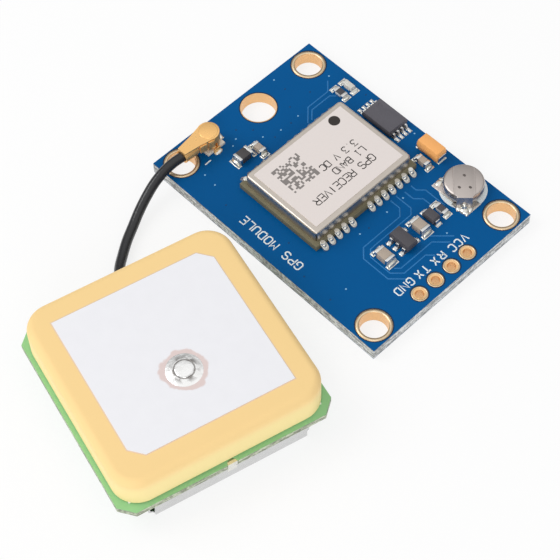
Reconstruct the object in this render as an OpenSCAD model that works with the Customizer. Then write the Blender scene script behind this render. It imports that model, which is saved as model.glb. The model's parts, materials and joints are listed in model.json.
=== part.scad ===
// GPS receiver board with a ceramic patch antenna on a coaxial pigtail, in millimetres.
// The origin is the centre of the four mounting holes on the board's underside.
// +X runs along the board's long side to the header row, +Z is up, the antenna lies at -Y.

/* [Main board] */
// Length of the board along X
board_l = 35; // [33:0.5:42]
// Width of the board along Y
board_w = 25; // [23:0.1:27]
// Thickness of the board
board_t = 1.6; // [1.2:0.1:1.8]
// Diameter of the mounting holes
hole_d = 3.2; // [2.2:0.1:3.6]
// Width of the plated ring around a mounting hole
hole_ring = 0.45; // [0.2:0.05:0.6]
// Distance of the mounting holes from the board's ends
hole_inset_x = 2.26; // [2:0.02:3]
// Distance of the mounting holes from the board's long edges
hole_inset_y = 2.34; // [2:0.02:3]
// Diameter of the plain hole that a tie or a lead passes through
lead_hole_d = 4.1; // [3:0.1:4.4]
// Distance of the lead hole from the board's end
lead_hole_inset = 2.72; // [2.5:0.02:3.5]
// Offset of the lead hole along Y
lead_hole_y = 1.55; // [0.5:0.05:2.5]
// Width of the plated rim around the lead hole
lead_hole_rim = 0.12; // [0.1:0.01:0.3]
// Thickness of the plating in the holes
plating_t = 0.08; // [0.05:0.01:0.12]

/* [Header holes] */
// Number of header holes
header_count = 4; // [2:1:5]
// Distance between header holes
header_pitch = 2.54; // [2:0.02:2.7]
// Diameter of a header hole
header_hole_d = 1; // [0.8:0.05:1.2]
// Width of the plated ring around a header hole
header_ring = 0.46; // [0.2:0.02:0.5]
// Distance of the header row from the board's end
header_inset = 1.55; // [1.4:0.05:2.2]

/* [Receiver] */
// Offset of the receiver's centre along X
receiver_x = -1.95; // [-2.6:0.05:-1.4]
// Distance of the receiver from the board's +Y edge
receiver_inset = 4.35; // [4:0.05:5]
// Width of the receiver along X
receiver_w = 12.2; // [11:0.1:13.2]
// Length of the receiver along Y
receiver_l = 16; // [15:0.1:17]
// Height of the receiver over its cover
receiver_h = 2.4; // [2.1:0.1:3]
// Thickness of the receiver's own circuit board
receiver_base_t = 0.8; // [0.5:0.1:1]
// Distance of the cover from the receiver's edges
cover_inset = 0.45; // [0.35:0.05:0.8]
// Wall of the cover
cover_wall = 0.2; // [0.12:0.02:0.25]
// Corner radius of the cover
cover_corner_r = 0.5; // [0.4:0.05:0.8]
// Bend radius round the top of the cover
cover_edge_r = 0.25; // [0.15:0.05:0.35]
// Width of the slits in the cover's corners
cover_slit = 0.12; // [0.08:0.01:0.2]
// Distance of the label from the cover's sides
label_margin = 0.7; // [0.4:0.05:1.5]
// Thickness of the label
label_t = 0.06; // [0.04:0.01:0.1]
// Distance between edge contacts
contact_pitch = 1.1; // [0.95:0.05:1.2]
// Distance of the first and last contact from the receiver's ends
contact_end = 1; // [0.8:0.05:1.3]
// Contacts in the lower group of each side
contact_lower = 5; // [3:1:5]
// Contacts in the upper group of each side
contact_upper = 7; // [5:1:7]
// Diameter of an edge contact's half hole
contact_d = 0.6; // [0.4:0.05:0.7]
// Width of the solder in front of a contact
bead_w = 0.74; // [0.5:0.02:0.84]
// Height of that solder at the receiver's edge
bead_rise = 0.7; // [0.55:0.05:0.75]
// Height of that solder at its round end
bead_end_h = 0.14; // [0.1:0.02:0.4]
// Reach of that solder from the receiver's edge
bead_reach = 0.85; // [0.6:0.05:0.9]

/* [Receiver inside] */
// Side of the positioning chip
chip_s = 6.5; // [5:0.1:7]
// Height of the positioning chip
chip_h = 0.85; // [0.6:0.05:1]
// Length of the oscillator
oscillator_l = 2.5; // [2:0.1:3.2]
// Width of the oscillator
oscillator_w = 2; // [1.6:0.1:2.5]
// Height of the oscillator
oscillator_h = 0.8; // [0.5:0.05:1]
// Length of the receiver's band filter
filter_l = 1.4; // [1.1:0.1:2]
// Width of the receiver's band filter
filter_w = 1.1; // [0.9:0.1:1.4]
// Height of the receiver's band filter
filter_h = 0.6; // [0.4:0.05:0.9]
// Gap between the parts under the cover
inside_gap = 0.6; // [0.4:0.05:0.8]
// Length of the smallest capacitors, here and in the antenna
tiny_l = 1; // [0.6:0.05:1.2]
// Width of the smallest capacitors
tiny_w = 0.5; // [0.3:0.05:0.6]
// Height of the smallest capacitors
tiny_h = 0.5; // [0.3:0.05:0.6]

/* [Packaged chips] */
// Length of the memory chip's body across its leads
memory_l = 4.4; // [4:0.1:4.8]
// Width of the memory chip's body along its leads
memory_w = 3; // [2.8:0.1:3.4]
// Height of the memory chip's body
memory_h = 0.95; // [0.8:0.05:1.3]
// Span over the memory chip's leads
memory_span = 6.4; // [6:0.1:6.8]
// Distance between the memory chip's leads
memory_pitch = 0.65; // [0.5:0.05:0.7]
// Length of the regulator's body
regulator_l = 2.9; // [2.7:0.1:3.2]
// Width of the regulator's body across its leads
regulator_w = 1.6; // [1.4:0.1:1.8]
// Height of the regulator's body
regulator_h = 1.05; // [0.8:0.05:1.3]
// Span over the regulator's leads
regulator_span = 2.8; // [2.6:0.1:3]
// Distance between the regulator's leads
regulator_pitch = 0.95; // [0.85:0.05:1]
// Length of the diode's body
diode_l = 1.7; // [1.5:0.1:1.9]
// Width of the diode's body
diode_w = 1.25; // [1.1:0.05:1.4]
// Height of the diode's body
diode_h = 0.9; // [0.7:0.05:1.1]
// Span over the diode's leads
diode_span = 2.6; // [2.4:0.1:2.9]
// Thickness of the leads
lead_t = 0.15; // [0.1:0.01:0.2]
// Clear height under the bodies of the leaded chips
lead_standoff = 0.1; // [0.05:0.01:0.2]

/* [Chip parts] */
// Length of a small chip part
small_l = 1.6; // [1.4:0.1:1.8]
// Width of a small chip part
small_w = 0.8; // [0.6:0.05:0.9]
// Height of a small capacitor
small_h = 0.8; // [0.4:0.05:0.9]
// Length of a large chip part
large_l = 2; // [1.8:0.1:2.3]
// Width of a large chip part
large_w = 1.25; // [1:0.05:1.4]
// Height of a large chip part
large_h = 0.95; // [0.6:0.05:1.3]
// Height of a chip resistor
resistor_h = 0.45; // [0.3:0.05:0.6]
// Thickness of the coating on a chip resistor
resistor_coat_t = 0.05; // [0.03:0.01:0.1]
// Length of the metal end of a chip part
chip_end = 0.38; // [0.25:0.01:0.5]
// Growth of the metal ends over a chip part's body
chip_lip = 0.02; // [0.01:0.005:0.04]
// Reach of the solder at a chip part's end
fillet_l = 0.42; // [0.15:0.01:0.45]
// Spread of the solder past a chip part's sides
fillet_side = 0.08; // [0.02:0.01:0.12]
// Length of the tantalum capacitor's body
tantalum_l = 3.2; // [2.9:0.1:3.5]
// Width of the tantalum capacitor's body
tantalum_w = 1.6; // [1.4:0.1:1.8]
// Height of the tantalum capacitor's body
tantalum_h = 1.55; // [1.2:0.05:1.8]
// Thickness of the tantalum capacitor's terminals
terminal_t = 0.12; // [0.08:0.01:0.2]
// Height of the light's base
light_base_h = 0.3; // [0.2:0.05:0.4]
// Height of the light's lens
light_lens_h = 0.35; // [0.2:0.05:0.5]
// Gap between neighbouring parts
part_gap = 0.6; // [0.5:0.05:0.8]

/* [Backup battery] */
// Diameter of the cell
battery_d = 4.7; // [4.2:0.1:4.8]
// Height of the cell
battery_h = 1.6; // [1.4:0.05:2.1]
// Wall of the cell's can
battery_wall = 0.2; // [0.15:0.01:0.3]
// Thickness of the tabs
tab_t = 0.12; // [0.1:0.01:0.2]
// Width of the upper tab on the cell
tab_w = 2.5; // [2.2:0.1:2.7]
// Width of the upper tab's leg
leg_w = 1.8; // [1.2:0.1:1.9]
// Width of the lower tab
lower_tab_w = 1.5; // [1:0.1:2]

/* [Coaxial connector] */
// Distance of the connector from the board's end
jack_inset = 2.5; // [2.2:0.05:3]
// Offset of the connector along Y
jack_y = -6.1; // [-6.4:0.05:-5.6]
// Side of the jack's base
jack_s = 2.6; // [2.4:0.05:3]
// Height of the jack's base
jack_base_h = 0.4; // [0.3:0.05:0.5]
// Outer diameter of the jack's collar
jack_d = 2; // [1.8:0.05:2.2]
// Height of the jack over its collar
jack_h = 1.25; // [1.1:0.05:1.4]
// Wall of the jack's collar
jack_wall = 0.15; // [0.1:0.01:0.2]
// Outer diameter of the plug's cap
plug_d = 2.6; // [2.5:0.05:2.9]
// Height of the plug's top over the board
plug_h = 2.45; // [2.3:0.05:2.7]
// Wall of the plug
plug_wall = 0.2; // [0.15:0.01:0.25]
// Clearance between the plug and the jack's collar
plug_fit = 0.05; // [0.02:0.01:0.08]
// Length of the plug from the jack's axis to its crimped end
plug_reach = 4.1; // [3.8:0.1:4.3]
// Width of the plug's top at its crimped end
plug_tail_w = 1.2; // [0.8:0.05:1.4]

/* [Antenna] */
// Turn of the antenna about Z
antenna_turn = -14.3; // [-18:0.1:-10]
// Offset of the antenna's centre along X
antenna_x = 5.2; // [4.8:0.1:6]
// Gap between the board's edge and the antenna's nearest corner
antenna_gap = 2.1; // [1.6:0.1:2.6]
// Side of the antenna's circuit board
antenna_board_s = 25; // [24.5:0.1:25.6]
// Thickness of the antenna's circuit board
antenna_board_t = 0.8; // [0.6:0.1:1.2]
// Chamfer of the antenna's circuit board
antenna_chamfer = 1.5; // [0.5:0.1:2.5]
// Side of the ceramic block
ceramic_s = 24; // [22:0.1:24.4]
// Thickness of the ceramic block
ceramic_t = 4; // [2:0.1:6]
// Corner radius of the ceramic block
ceramic_corner_r = 3; // [1.5:0.1:4]
// Softening of the ceramic block's upper edge
ceramic_edge_r = 0.9; // [0.3:0.1:1.2]
// Distance of the silver face from the block's sides
electrode_margin = 2.75; // [2:0.05:4]
// Cut of two opposite corners of the silver face
electrode_cut = 1.4; // [0.5:0.1:3]
// Thickness of the silver faces
electrode_t = 0.05; // [0.03:0.01:0.1]
// Distance of the adhesive and the lower silver face from the block's sides
adhesive_margin = 0.8; // [0.4:0.1:2]
// Thickness of the adhesive
adhesive_t = 0.15; // [0.05:0.05:0.3]
// Offset of the feed pin from the antenna's centre
feed_offset = 2.7; // [2:0.1:3.5]
// Diameter of the feed pin
feed_d = 0.8; // [0.6:0.1:1]
// Diameter of the feed pin's head
feed_head_d = 2.2; // [1.6:0.1:2.6]
// Height of the feed pin's head
feed_head_h = 0.3; // [0.2:0.05:0.5]
// Diameter of the solder round the feed pin
feed_solder_d = 4; // [3:0.1:5]
// Clearance round the feed pin
feed_fit = 0.05; // [0.02:0.01:0.15]
// Distance of the shield's soldered wall from the antenna board's edge
shield_inset = 0.3; // [0.25:0.05:0.8]
// Length of the shield from its soldered wall to the cable's side
shield_l = 21.6; // [20.8:0.1:22.2]
// Width of the shield
shield_w = 19; // [17:0.1:21]
// Height of the shield
shield_h = 2.7; // [2.4:0.05:4]
// Wall of the shield
shield_wall = 0.25; // [0.15:0.01:0.35]
// Bend radius round the foot of the shield
shield_bend_r = 0.5; // [0.4:0.05:0.8]
// Distance of each shield wall's ends from the corners
shield_slit = 0.6; // [0.5:0.05:1]
// Radius of the solder notch in the antenna board's edge
notch_r = 0.55; // [0.3:0.05:0.8]
// Length of the amplifier in the shield
amplifier_l = 2; // [1.6:0.1:2.2]
// Width of the amplifier in the shield
amplifier_w = 1.25; // [1.1:0.05:1.4]
// Height of the amplifier in the shield
amplifier_h = 0.9; // [0.7:0.05:1.1]
// Side of the band filter in the shield
antenna_filter_s = 3; // [2.5:0.1:3.2]
// Height of the band filter in the shield
antenna_filter_h = 1.1; // [0.8:0.05:1.3]
// Diameter of the coaxial cable
cable_d = 1.2; // [1:0.05:1.3]
// Clearance round the cable
cable_fit = 0.05; // [0.02:0.01:0.15]

/* [Hidden] */
$fn = 32;

// Cuts run this far past the faces they open
over = 1;
// Slope of a moulded body's sides, taken off each side at its top and foot
body_draft = 0.1;

// Places on the board
hole_x = board_l / 2 - hole_inset_x;
hole_y = board_w / 2 - hole_inset_y;
lead_hole_x = lead_hole_inset - board_l / 2;
header_x = board_l / 2 - header_inset;
receiver_left = receiver_x - receiver_w / 2;
receiver_right = receiver_x + receiver_w / 2;
receiver_top = board_w / 2 - receiver_inset;
receiver_y = receiver_top - receiver_l / 2;
cover_h = receiver_h - receiver_base_t;
cover_w = receiver_w - 2 * cover_inset;
cover_l = receiver_l - 2 * cover_inset;
contact_rows = concat(
    [for (i = [0 : contact_lower - 1]) contact_end + i * contact_pitch],
    [for (i = [0 : contact_upper - 1]) receiver_l - contact_end - i * contact_pitch]
);
board_top = board_t;

// The column of parts between the receiver and the header
column_x = (receiver_right + header_x) / 2;
regulator_drop = 0.35;
regulator_y = receiver_y - regulator_drop;
lower_gap = 0.95;
battery_shift = 0.2;
battery_inset = 2.75;
input_cap_y = regulator_y - regulator_span / 2 - lower_gap - large_w / 2;
output_cap_y = regulator_y + regulator_span / 2 + part_gap + large_w / 2;
diode_y = output_cap_y + (large_w + diode_w) / 2 + part_gap;
charge_resistor_y = diode_y + (diode_w + small_w) / 2 + part_gap;
battery_x = column_x - battery_shift;
battery_y = board_w / 2 - battery_inset;

// The row of parts above the receiver
memory_shift = 1.15;
memory_inset = 2;
tantalum_gap = 2.1;
tantalum_inset = 1.55;
supply_cap_shift = 0.4;
light_gap = 2.4;
light_inset = 1.4;
memory_x = receiver_x - memory_shift;
memory_y = board_w / 2 - memory_inset;
tantalum_x = memory_x + memory_span / 2 + tantalum_gap + tantalum_l / 2;
supply_cap_x = tantalum_x + supply_cap_shift;
supply_cap_y = receiver_top + part_gap + small_w / 2;
tantalum_y = board_w / 2 - tantalum_inset;
light_x = memory_x - memory_span / 2 - light_gap - small_l / 2;
light_y = board_w / 2 - light_inset;
light_resistor_y = light_y - small_w - part_gap;

// The parts on the aerial line
inductor_gap = 2.1;
inductor_x = receiver_left - inductor_gap - large_w / 2;
inductor_drop = 4.85;
inductor_y = receiver_y - inductor_drop;
bias_gap = 1.45;
bias_cap_x = receiver_left - bias_gap - small_l / 2;
bias_cap_y = inductor_y + (large_l + small_w) / 2 + part_gap;
jack_x = jack_inset - board_l / 2;

// Chip parts as [x, y, turn, length, width, height]
capacitors = [
    [supply_cap_x, supply_cap_y, 0, small_l, small_w, small_h],
    [column_x, output_cap_y, 0, large_l, large_w, large_h],
    [column_x, input_cap_y, 0, large_l, large_w, large_h],
    [bias_cap_x, bias_cap_y, 0, small_l, small_w, small_h]
];
resistors = [
    [light_x, light_resistor_y, 0, small_l, small_w, resistor_h],
    [column_x, charge_resistor_y, 0, small_l, small_w, resistor_h]
];
inductors = [[inductor_x, inductor_y, 90, large_l, large_w, large_h]];
lights = [[light_x, light_y, 0, small_l, small_w, light_base_h]];
soldered = concat(capacitors, resistors, inductors, lights);

// Heights and sides in the antenna
turn_spread = cos(antenna_turn) + abs(sin(antenna_turn));
antenna_y = -board_w / 2 - antenna_gap - antenna_board_s / 2 * turn_spread;
shield_x = antenna_board_s / 2 - shield_inset - shield_l / 2;
adhesive_z = shield_h + antenna_board_t;
ground_z = adhesive_z + adhesive_t;
ceramic_z = ground_z + electrode_t;
electrode_z = ceramic_z + ceramic_t;
feed_top = electrode_z + electrode_t;
adhesive_s = ceramic_s - 2 * adhesive_margin;
electrode_s = ceramic_s - 2 * electrode_margin;
feed_tail = 0.7;

// The cable's middle line, from inside the plug's crimp to its end under the antenna board
cable_axis_z = 1.45;
cable_end_z = 2;
cable_entry = [-3.4, -27.5, cable_end_z];
crimp_back = 2.5;
crimp_front = 4.2;
cable_points = [
    [jack_x, jack_y - crimp_back, board_top + cable_axis_z],
    [jack_x, jack_y - crimp_front, board_top + cable_axis_z],
    [-15.1, -11.5, 3], [-15.1, -13, 2.75], [-14.9, -14.6, 2.3], [-14.5, -16.2, 1.75],
    [-13.9, -17.9, 1.2], [-13.1, -19.6, 0.8], [-12.2, -21.3, 0.65], [-11.1, -22.9, 0.7],
    [-9.9, -24.4, 1], [-8.5, -25.6, 1.45], [-7, -26.5, 1.85], [-5.4, -27, cable_end_z],
    cable_entry, [-1.4, -28, cable_end_z], [1, -28.6, cable_end_z]
];
cable_sides = 8;

// Helpers

module on_board(x, y, turn = 0) {
    translate([x, y, board_top])
        rotate(turn)
            children();
}

module at_mounting_holes() {
    for (sx = [-1, 1], sy = [-1, 1])
        translate([sx * hole_x, sy * hole_y, 0])
            children();
}

module at_header_holes() {
    for (i = [0 : header_count - 1])
        translate([header_x, (i - (header_count - 1) / 2) * header_pitch, 0])
            children();
}

module at_antenna() {
    translate([antenna_x, antenna_y, 0])
        rotate(antenna_turn)
            children();
}

// A plated hole: a barrel with a flat ring on both faces of the board
module eyelet(d, ring) {
    inner = d / 2;
    barrel = inner + plating_t;
    outer = inner + ring;
    rotate_extrude()
        polygon([
            [inner, 0], [outer, 0], [outer, plating_t], [barrel, plating_t],
            [barrel, board_t - plating_t], [outer, board_t - plating_t],
            [outer, board_t], [inner, board_t]
        ]);
}

// The seat in the board that an eyelet fills
module eyelet_seat(d, ring) {
    translate([0, 0, -over])
        cylinder(d = d + 2 * plating_t, h = board_t + 2 * over);
    translate([0, 0, -over])
        cylinder(d = d + 2 * ring, h = over + plating_t);
    translate([0, 0, board_t - plating_t])
        cylinder(d = d + 2 * ring, h = over + plating_t);
}

module block(l, w, h) {
    translate([-l / 2, -w / 2, 0])
        cube([l, w, h]);
}

module rounded_square(l, w, r) {
    square([l - 2 * r, w], center = true);
    square([l, w - 2 * r], center = true);
    for (sx = [-1, 1], sy = [-1, 1])
        translate([sx * (l / 2 - r), sy * (w / 2 - r)])
            circle(r);
}

module quarter_disc(r) {
    intersection() {
        circle(r);
        square(r);
    }
}

// The section of a block whose upper edges are rolled over, drawn from its middle to one side
module rolled_section(half, h, edge_r) {
    square([half, h - edge_r]);
    square([half - edge_r, h]);
    translate([half - edge_r, h - edge_r])
        quarter_disc(edge_r);
}

// A block with round corners whose upper edge is rolled over
module soft_block(l, w, h, corner_r, edge_r) {
    for (side = [0, 180])
        rotate(side) {
            rotate([90, 0, 0])
                linear_extrude(w - 2 * corner_r, center = true)
                    rolled_section(l / 2, h, edge_r);
            rotate([90, 0, 90])
                linear_extrude(l - 2 * corner_r, center = true)
                    rolled_section(w / 2, h, edge_r);
        }
    for (i = [0 : 3]) {
        sx = i == 0 || i == 3 ? 1 : -1;
        sy = i < 2 ? 1 : -1;
        translate([sx * (l / 2 - corner_r), sy * (w / 2 - corner_r), 0])
            rotate_extrude(angle = 90, start = 90 * i)
                rolled_section(corner_r, h, edge_r);
    }
}

// A moulded chip body, widest at the line where its leads leave it
module moulded_body(l, w, h) {
    hull() {
        translate([0, 0, (h - lead_t) / 2])
            block(l, w, lead_t);
        block(l - 2 * body_draft, w - 2 * body_draft, h);
    }
}

// A lead that leaves a body along +X at the height rise, steps down and lands on the board
module gull_lead(reach, rise, foot, width) {
    shoulder_share = 0.4;
    shoulder = (reach - foot) * shoulder_share;
    rotate([90, 0, 0])
        linear_extrude(width, center = true)
            polygon([
                [0, rise], [shoulder + lead_t / 2, rise], [reach - foot, lead_t], [reach, lead_t],
                [reach, 0], [reach - foot - lead_t / 2, 0], [shoulder, rise - lead_t], [0, rise - lead_t]
            ]);
}

// Leads in a row along Y, on the +X side of a body
module lead_row(places, body_l, span, body_h, foot, width) {
    rise = lead_standoff + (body_h + lead_t) / 2;
    for (y = places)
        translate([body_l / 2, y, 0])
            gull_lead((span - body_l) / 2, rise, foot, width);
}

module chip_middles(list) {
    for (c = list)
        on_board(c[0], c[1], c[2])
            block(c[3] - 2 * chip_end, c[4], c[5]);
}

module chip_caps(list, rise = chip_lip) {
    for (c = list, s = [-1, 1])
        on_board(c[0], c[1], c[2])
            translate([s * (c[3] - chip_end) / 2, 0, 0])
                block(chip_end, c[4] + 2 * chip_lip, c[5] + rise);
}

// Board and plated holes

module main_board() {
    color("#00508f")
        difference() {
            block(board_l, board_w, board_t);
            at_mounting_holes() eyelet_seat(hole_d, hole_ring);
            translate([lead_hole_x, lead_hole_y, 0]) eyelet_seat(lead_hole_d, lead_hole_rim);
            at_header_holes() eyelet_seat(header_hole_d, header_ring);
        }
}

module mounting_eyelets() {
    color("#f2c58b")
        at_mounting_holes() eyelet(hole_d, hole_ring);
}

module lead_hole_eyelet() {
    color("#f2c58b")
        translate([lead_hole_x, lead_hole_y, 0]) eyelet(lead_hole_d, lead_hole_rim);
}

module header_eyelets() {
    color("#f2c58b")
        at_header_holes() eyelet(header_hole_d, header_ring);
}

// Receiver

module at_contacts() {
    for (side = [0, 180], y = contact_rows)
        on_board(receiver_x, receiver_y + y - receiver_l / 2, side)
            translate([receiver_w / 2, 0, 0])
                children();
}

module receiver_substrate() {
    color("#6f6a4e")
        difference() {
            on_board(receiver_x, receiver_y) block(receiver_w, receiver_l, receiver_base_t);
            at_contacts()
                translate([0, 0, -over])
                    cylinder(d = contact_d, h = receiver_base_t + 2 * over);
        }
}

// Solder fills each half hole and runs down to a round end on the board in front of it
module receiver_contacts() {
    bead_l = bead_reach - bead_w / 2;
    color("#d8d8d2")
        at_contacts() {
            cylinder(d = contact_d, h = receiver_base_t);
            intersection() {
                linear_extrude(receiver_base_t) {
                    translate([0, -bead_w / 2])
                        square([bead_l, bead_w]);
                    translate([bead_l, 0])
                        circle(bead_w / 2);
                }
                rotate([90, 0, 0])
                    linear_extrude(bead_w + over, center = true)
                        polygon([[0, 0], [bead_reach, 0], [bead_reach, bead_end_h], [0, bead_rise]]);
            }
        }
}

// The cover is folded from sheet, so its corners stay open below the bend
module receiver_cover() {
    inner_r = cover_corner_r - cover_wall;
    slit_h = cover_h - cover_edge_r - cover_wall;
    color("#c8c0b6")
        on_board(receiver_x, receiver_y)
            translate([0, 0, receiver_base_t])
                difference() {
                    soft_block(cover_w, cover_l, cover_h, cover_corner_r, cover_edge_r);
                    translate([0, 0, -over])
                        linear_extrude(cover_h - cover_wall + over)
                            rounded_square(cover_w - 2 * cover_wall, cover_l - 2 * cover_wall, inner_r);
                    for (sx = [-1, 1], sy = [-1, 1])
                        translate([sx * cover_w / 2, sy * cover_l / 2, -over])
                            rotate(45 * sx * sy)
                                block(4 * cover_corner_r, cover_slit, slit_h + over);
                }
}

module receiver_label() {
    color("#e8dedb")
        on_board(receiver_x, receiver_y)
            translate([0, 0, receiver_h])
                block(cover_w - 2 * label_margin, cover_l - 2 * label_margin, label_t);
}

// Parts under the cover stand on the receiver's own board
inside_y = cover_l / 2 - cover_wall - inside_gap;
chip_y = chip_s / 2 - inside_y;
oscillator_y = inside_y - oscillator_w / 2;
oscillator_x = -(chip_s - oscillator_l) / 2;

module in_receiver(x, y) {
    on_board(receiver_x + x, receiver_y + y)
        translate([0, 0, receiver_base_t])
            children();
}

module receiver_chip() {
    color("#2b2b2d")
        in_receiver(0, chip_y) block(chip_s, chip_s, chip_h);
}

module receiver_oscillator() {
    color("#c9c6bd")
        in_receiver(oscillator_x, oscillator_y) block(oscillator_l, oscillator_w, oscillator_h);
}

module receiver_filter() {
    filter_x = oscillator_x + (oscillator_l + filter_l) / 2 + inside_gap;
    color("#b9a24e")
        in_receiver(filter_x, oscillator_y) block(filter_l, filter_w, filter_h);
}

module receiver_passives() {
    row_y = chip_y + chip_s / 2 + inside_gap + tiny_w / 2;
    color("#b08a5e")
        for (i = [-2 : 2])
            in_receiver(i * (tiny_l + inside_gap), row_y) block(tiny_l, tiny_w, tiny_h);
}

// Leaded chips

module memory_body() {
    dot_d = 0.5;
    dot_depth = 0.06;
    dot_inset = 0.75;
    color("#46464a")
        on_board(memory_x, memory_y)
            translate([0, 0, lead_standoff])
                difference() {
                    moulded_body(memory_l, memory_w, memory_h);
                    translate([dot_inset - memory_l / 2, memory_w / 2 - dot_inset, memory_h - dot_depth])
                        cylinder(d = dot_d, h = over);
                }
}

module memory_leads() {
    foot = 0.5;
    width = 0.27;
    places = [for (i = [-1.5 : 1.5]) i * memory_pitch];
    color("#d2d2d0")
        for (side = [0, 180])
            on_board(memory_x, memory_y, side)
                lead_row(places, memory_l, memory_span, memory_h, foot, width);
}

module regulator_body() {
    color("#3c3a3d")
        on_board(column_x, regulator_y)
            translate([0, 0, lead_standoff])
                moulded_body(regulator_l, regulator_w, regulator_h);
}

module regulator_leads() {
    width = 0.42;
    foot = 0.3;
    color("#d2d2d0") {
        on_board(column_x, regulator_y, 90)
            lead_row([-regulator_pitch, regulator_pitch],
                regulator_w, regulator_span, regulator_h, foot, width);
        on_board(column_x, regulator_y, -90)
            lead_row([-regulator_pitch, 0, regulator_pitch],
                regulator_w, regulator_span, regulator_h, foot, width);
    }
}

module diode_body() {
    color("#3c3a3d")
        on_board(column_x, diode_y)
            translate([0, 0, lead_standoff])
                moulded_body(diode_l, diode_w, diode_h);
}

module diode_leads() {
    foot = 0.22;
    color("#d2d2d0")
        for (side = [0, 180])
            on_board(column_x, diode_y, side)
                lead_row([0], diode_l, diode_span, diode_h, foot, diode_w / 2);
}

// Chip parts

module tantalum_body() {
    color("#f0a050")
        on_board(tantalum_x, tantalum_y)
            translate([0, 0, terminal_t])
                moulded_body(tantalum_l, tantalum_w, tantalum_h);
}

// Each terminal leaves the end at half height, runs down outside the body and folds under it
module tantalum_terminals() {
    terminal_w = tantalum_w * 3 / 4;
    foot = 0.8;
    top = terminal_t + (tantalum_h + lead_t) / 2;
    color("#d8d6d2")
        for (side = [0, 180])
            on_board(tantalum_x, tantalum_y, side) {
                translate([tantalum_l / 2, -terminal_w / 2, 0])
                    cube([terminal_t, terminal_w, top]);
                translate([tantalum_l / 2 - foot, -terminal_w / 2, 0])
                    cube([foot, terminal_w, terminal_t]);
            }
}

module capacitor_bodies() {
    color("#b59f84")
        chip_middles(capacitors);
}

module capacitor_ends() {
    color("#d9d8d6")
        chip_caps(capacitors);
}

module resistor_bodies() {
    color("#e4e2dc")
        chip_middles(resistors);
}

module resistor_coatings() {
    color("#2e2d30")
        for (c = resistors)
            on_board(c[0], c[1], c[2])
                translate([0, 0, c[5]])
                    block(c[3] - 2 * chip_end, c[4], resistor_coat_t);
}

module resistor_ends() {
    color("#d9d8d6")
        chip_caps(resistors);
}

module light_base() {
    color("#e9e6d8")
        chip_middles(lights);
}

// The lens rises over the base with sloping sides
module light_lens() {
    slope = 0.08;
    foot_h = 0.05;
    color("#f3f0dc")
        for (c = lights)
            on_board(c[0], c[1], c[2])
                translate([0, 0, light_base_h])
                    hull() {
                        block(c[3] - slope, c[4], foot_h);
                        block(c[3] - 3 * slope, c[4] - 2 * slope, light_lens_h);
                    }
}

module light_ends() {
    color("#d9d8d6")
        chip_caps(lights, 0);
}

module inductor_body() {
    color("#2d2a2b")
        chip_middles(inductors);
}

module inductor_ends() {
    color("#d9d8d6")
        chip_caps(inductors);
}

// A ramp of solder against each metal end
module solder_fillets() {
    climb = 0.65;
    waist = 0.4;
    color("#d6d6d4")
        for (c = soldered, side = [0, 180])
            on_board(c[0], c[1], c[2] + side)
                translate([c[3] / 2, 0, 0])
                    rotate([90, 0, 0])
                        linear_extrude(c[4] + 2 * fillet_side, center = true)
                            polygon([
                                [0, 0], [fillet_l, 0], [fillet_l * waist, c[5] * climb * waist],
                                [0, c[5] * climb]
                            ]);
}

// Backup battery: the can is the upper face, its lip is crimped under a gasket

gasket_w = 0.5;
lip_w = 0.45;
cap_r = battery_d / 2 - battery_wall - gasket_w;
seal_h = 1;
lip_r = battery_d / 2 - lip_w;
lip_z = 0.15;
bend_z = 0.45;

module on_battery() {
    on_board(battery_x, battery_y)
        translate([0, 0, tab_t])
            children();
}

module battery_can() {
    r = battery_d / 2;
    edge = 0.3;
    brow = edge * (1 - sqrt(1 / 2));
    color("#bdb6b0")
        on_battery()
            rotate_extrude()
                polygon([
                    [0, battery_h], [r - edge, battery_h], [r - brow, battery_h - brow],
                    [r, battery_h - edge], [r, bend_z], [lip_r, lip_z], [lip_r, lip_z + battery_wall],
                    [r - battery_wall, bend_z + battery_wall / 2], [r - battery_wall, seal_h], [0, seal_h]
                ]);
}

module battery_gasket() {
    r = battery_d / 2;
    color("#3a3835")
        on_battery()
            rotate_extrude()
                polygon([
                    [cap_r, lip_z / 2], [lip_r, lip_z / 2], [lip_r, lip_z + battery_wall],
                    [r - battery_wall, bend_z + battery_wall / 2], [r - battery_wall, seal_h], [cap_r, seal_h]
                ]);
}

module battery_cap() {
    color("#a9a49e")
        on_battery()
            cylinder(r = cap_r, h = seal_h);
}

// The upper tab runs across the can, narrows at the rim, folds down and lands on its pad
tab_turn = -45;
leg_gap = 0.02;
leg_out = battery_d / 2 + leg_gap;
tab_z = tab_t + battery_h;

module battery_upper_tab() {
    foot_l = 0.6;
    neck_l = 0.07;
    taper_l = 0.35;
    tail_gap = 0.4;
    neck = leg_out - neck_l;
    tail = battery_d / 2 - tail_gap;
    color("#c6c0b8")
        on_board(battery_x, battery_y, tab_turn) {
            translate([0, 0, tab_z])
                linear_extrude(tab_t)
                    polygon([
                        [-tail, -tab_w / 2], [neck - taper_l, -tab_w / 2], [neck, -leg_w / 2],
                        [leg_out + tab_t, -leg_w / 2], [leg_out + tab_t, leg_w / 2], [neck, leg_w / 2],
                        [neck - taper_l, tab_w / 2], [-tail, tab_w / 2]
                    ]);
            translate([leg_out, -leg_w / 2, 0])
                cube([tab_t, leg_w, tab_z]);
            translate([leg_out + tab_t, -leg_w / 2, 0])
                cube([foot_l, leg_w, tab_t]);
        }
}

module battery_lower_tab() {
    reach = 0.4;
    inner = 0.6;
    out = battery_d / 2 + reach;
    color("#c6c0b8")
        on_board(battery_x, battery_y)
            translate([-out, -inner - lower_tab_w, 0])
                cube([out + inner, lower_tab_w, tab_t]);
}

// Coaxial jack on the board

module on_jack() {
    on_board(jack_x, jack_y)
        children();
}

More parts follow.
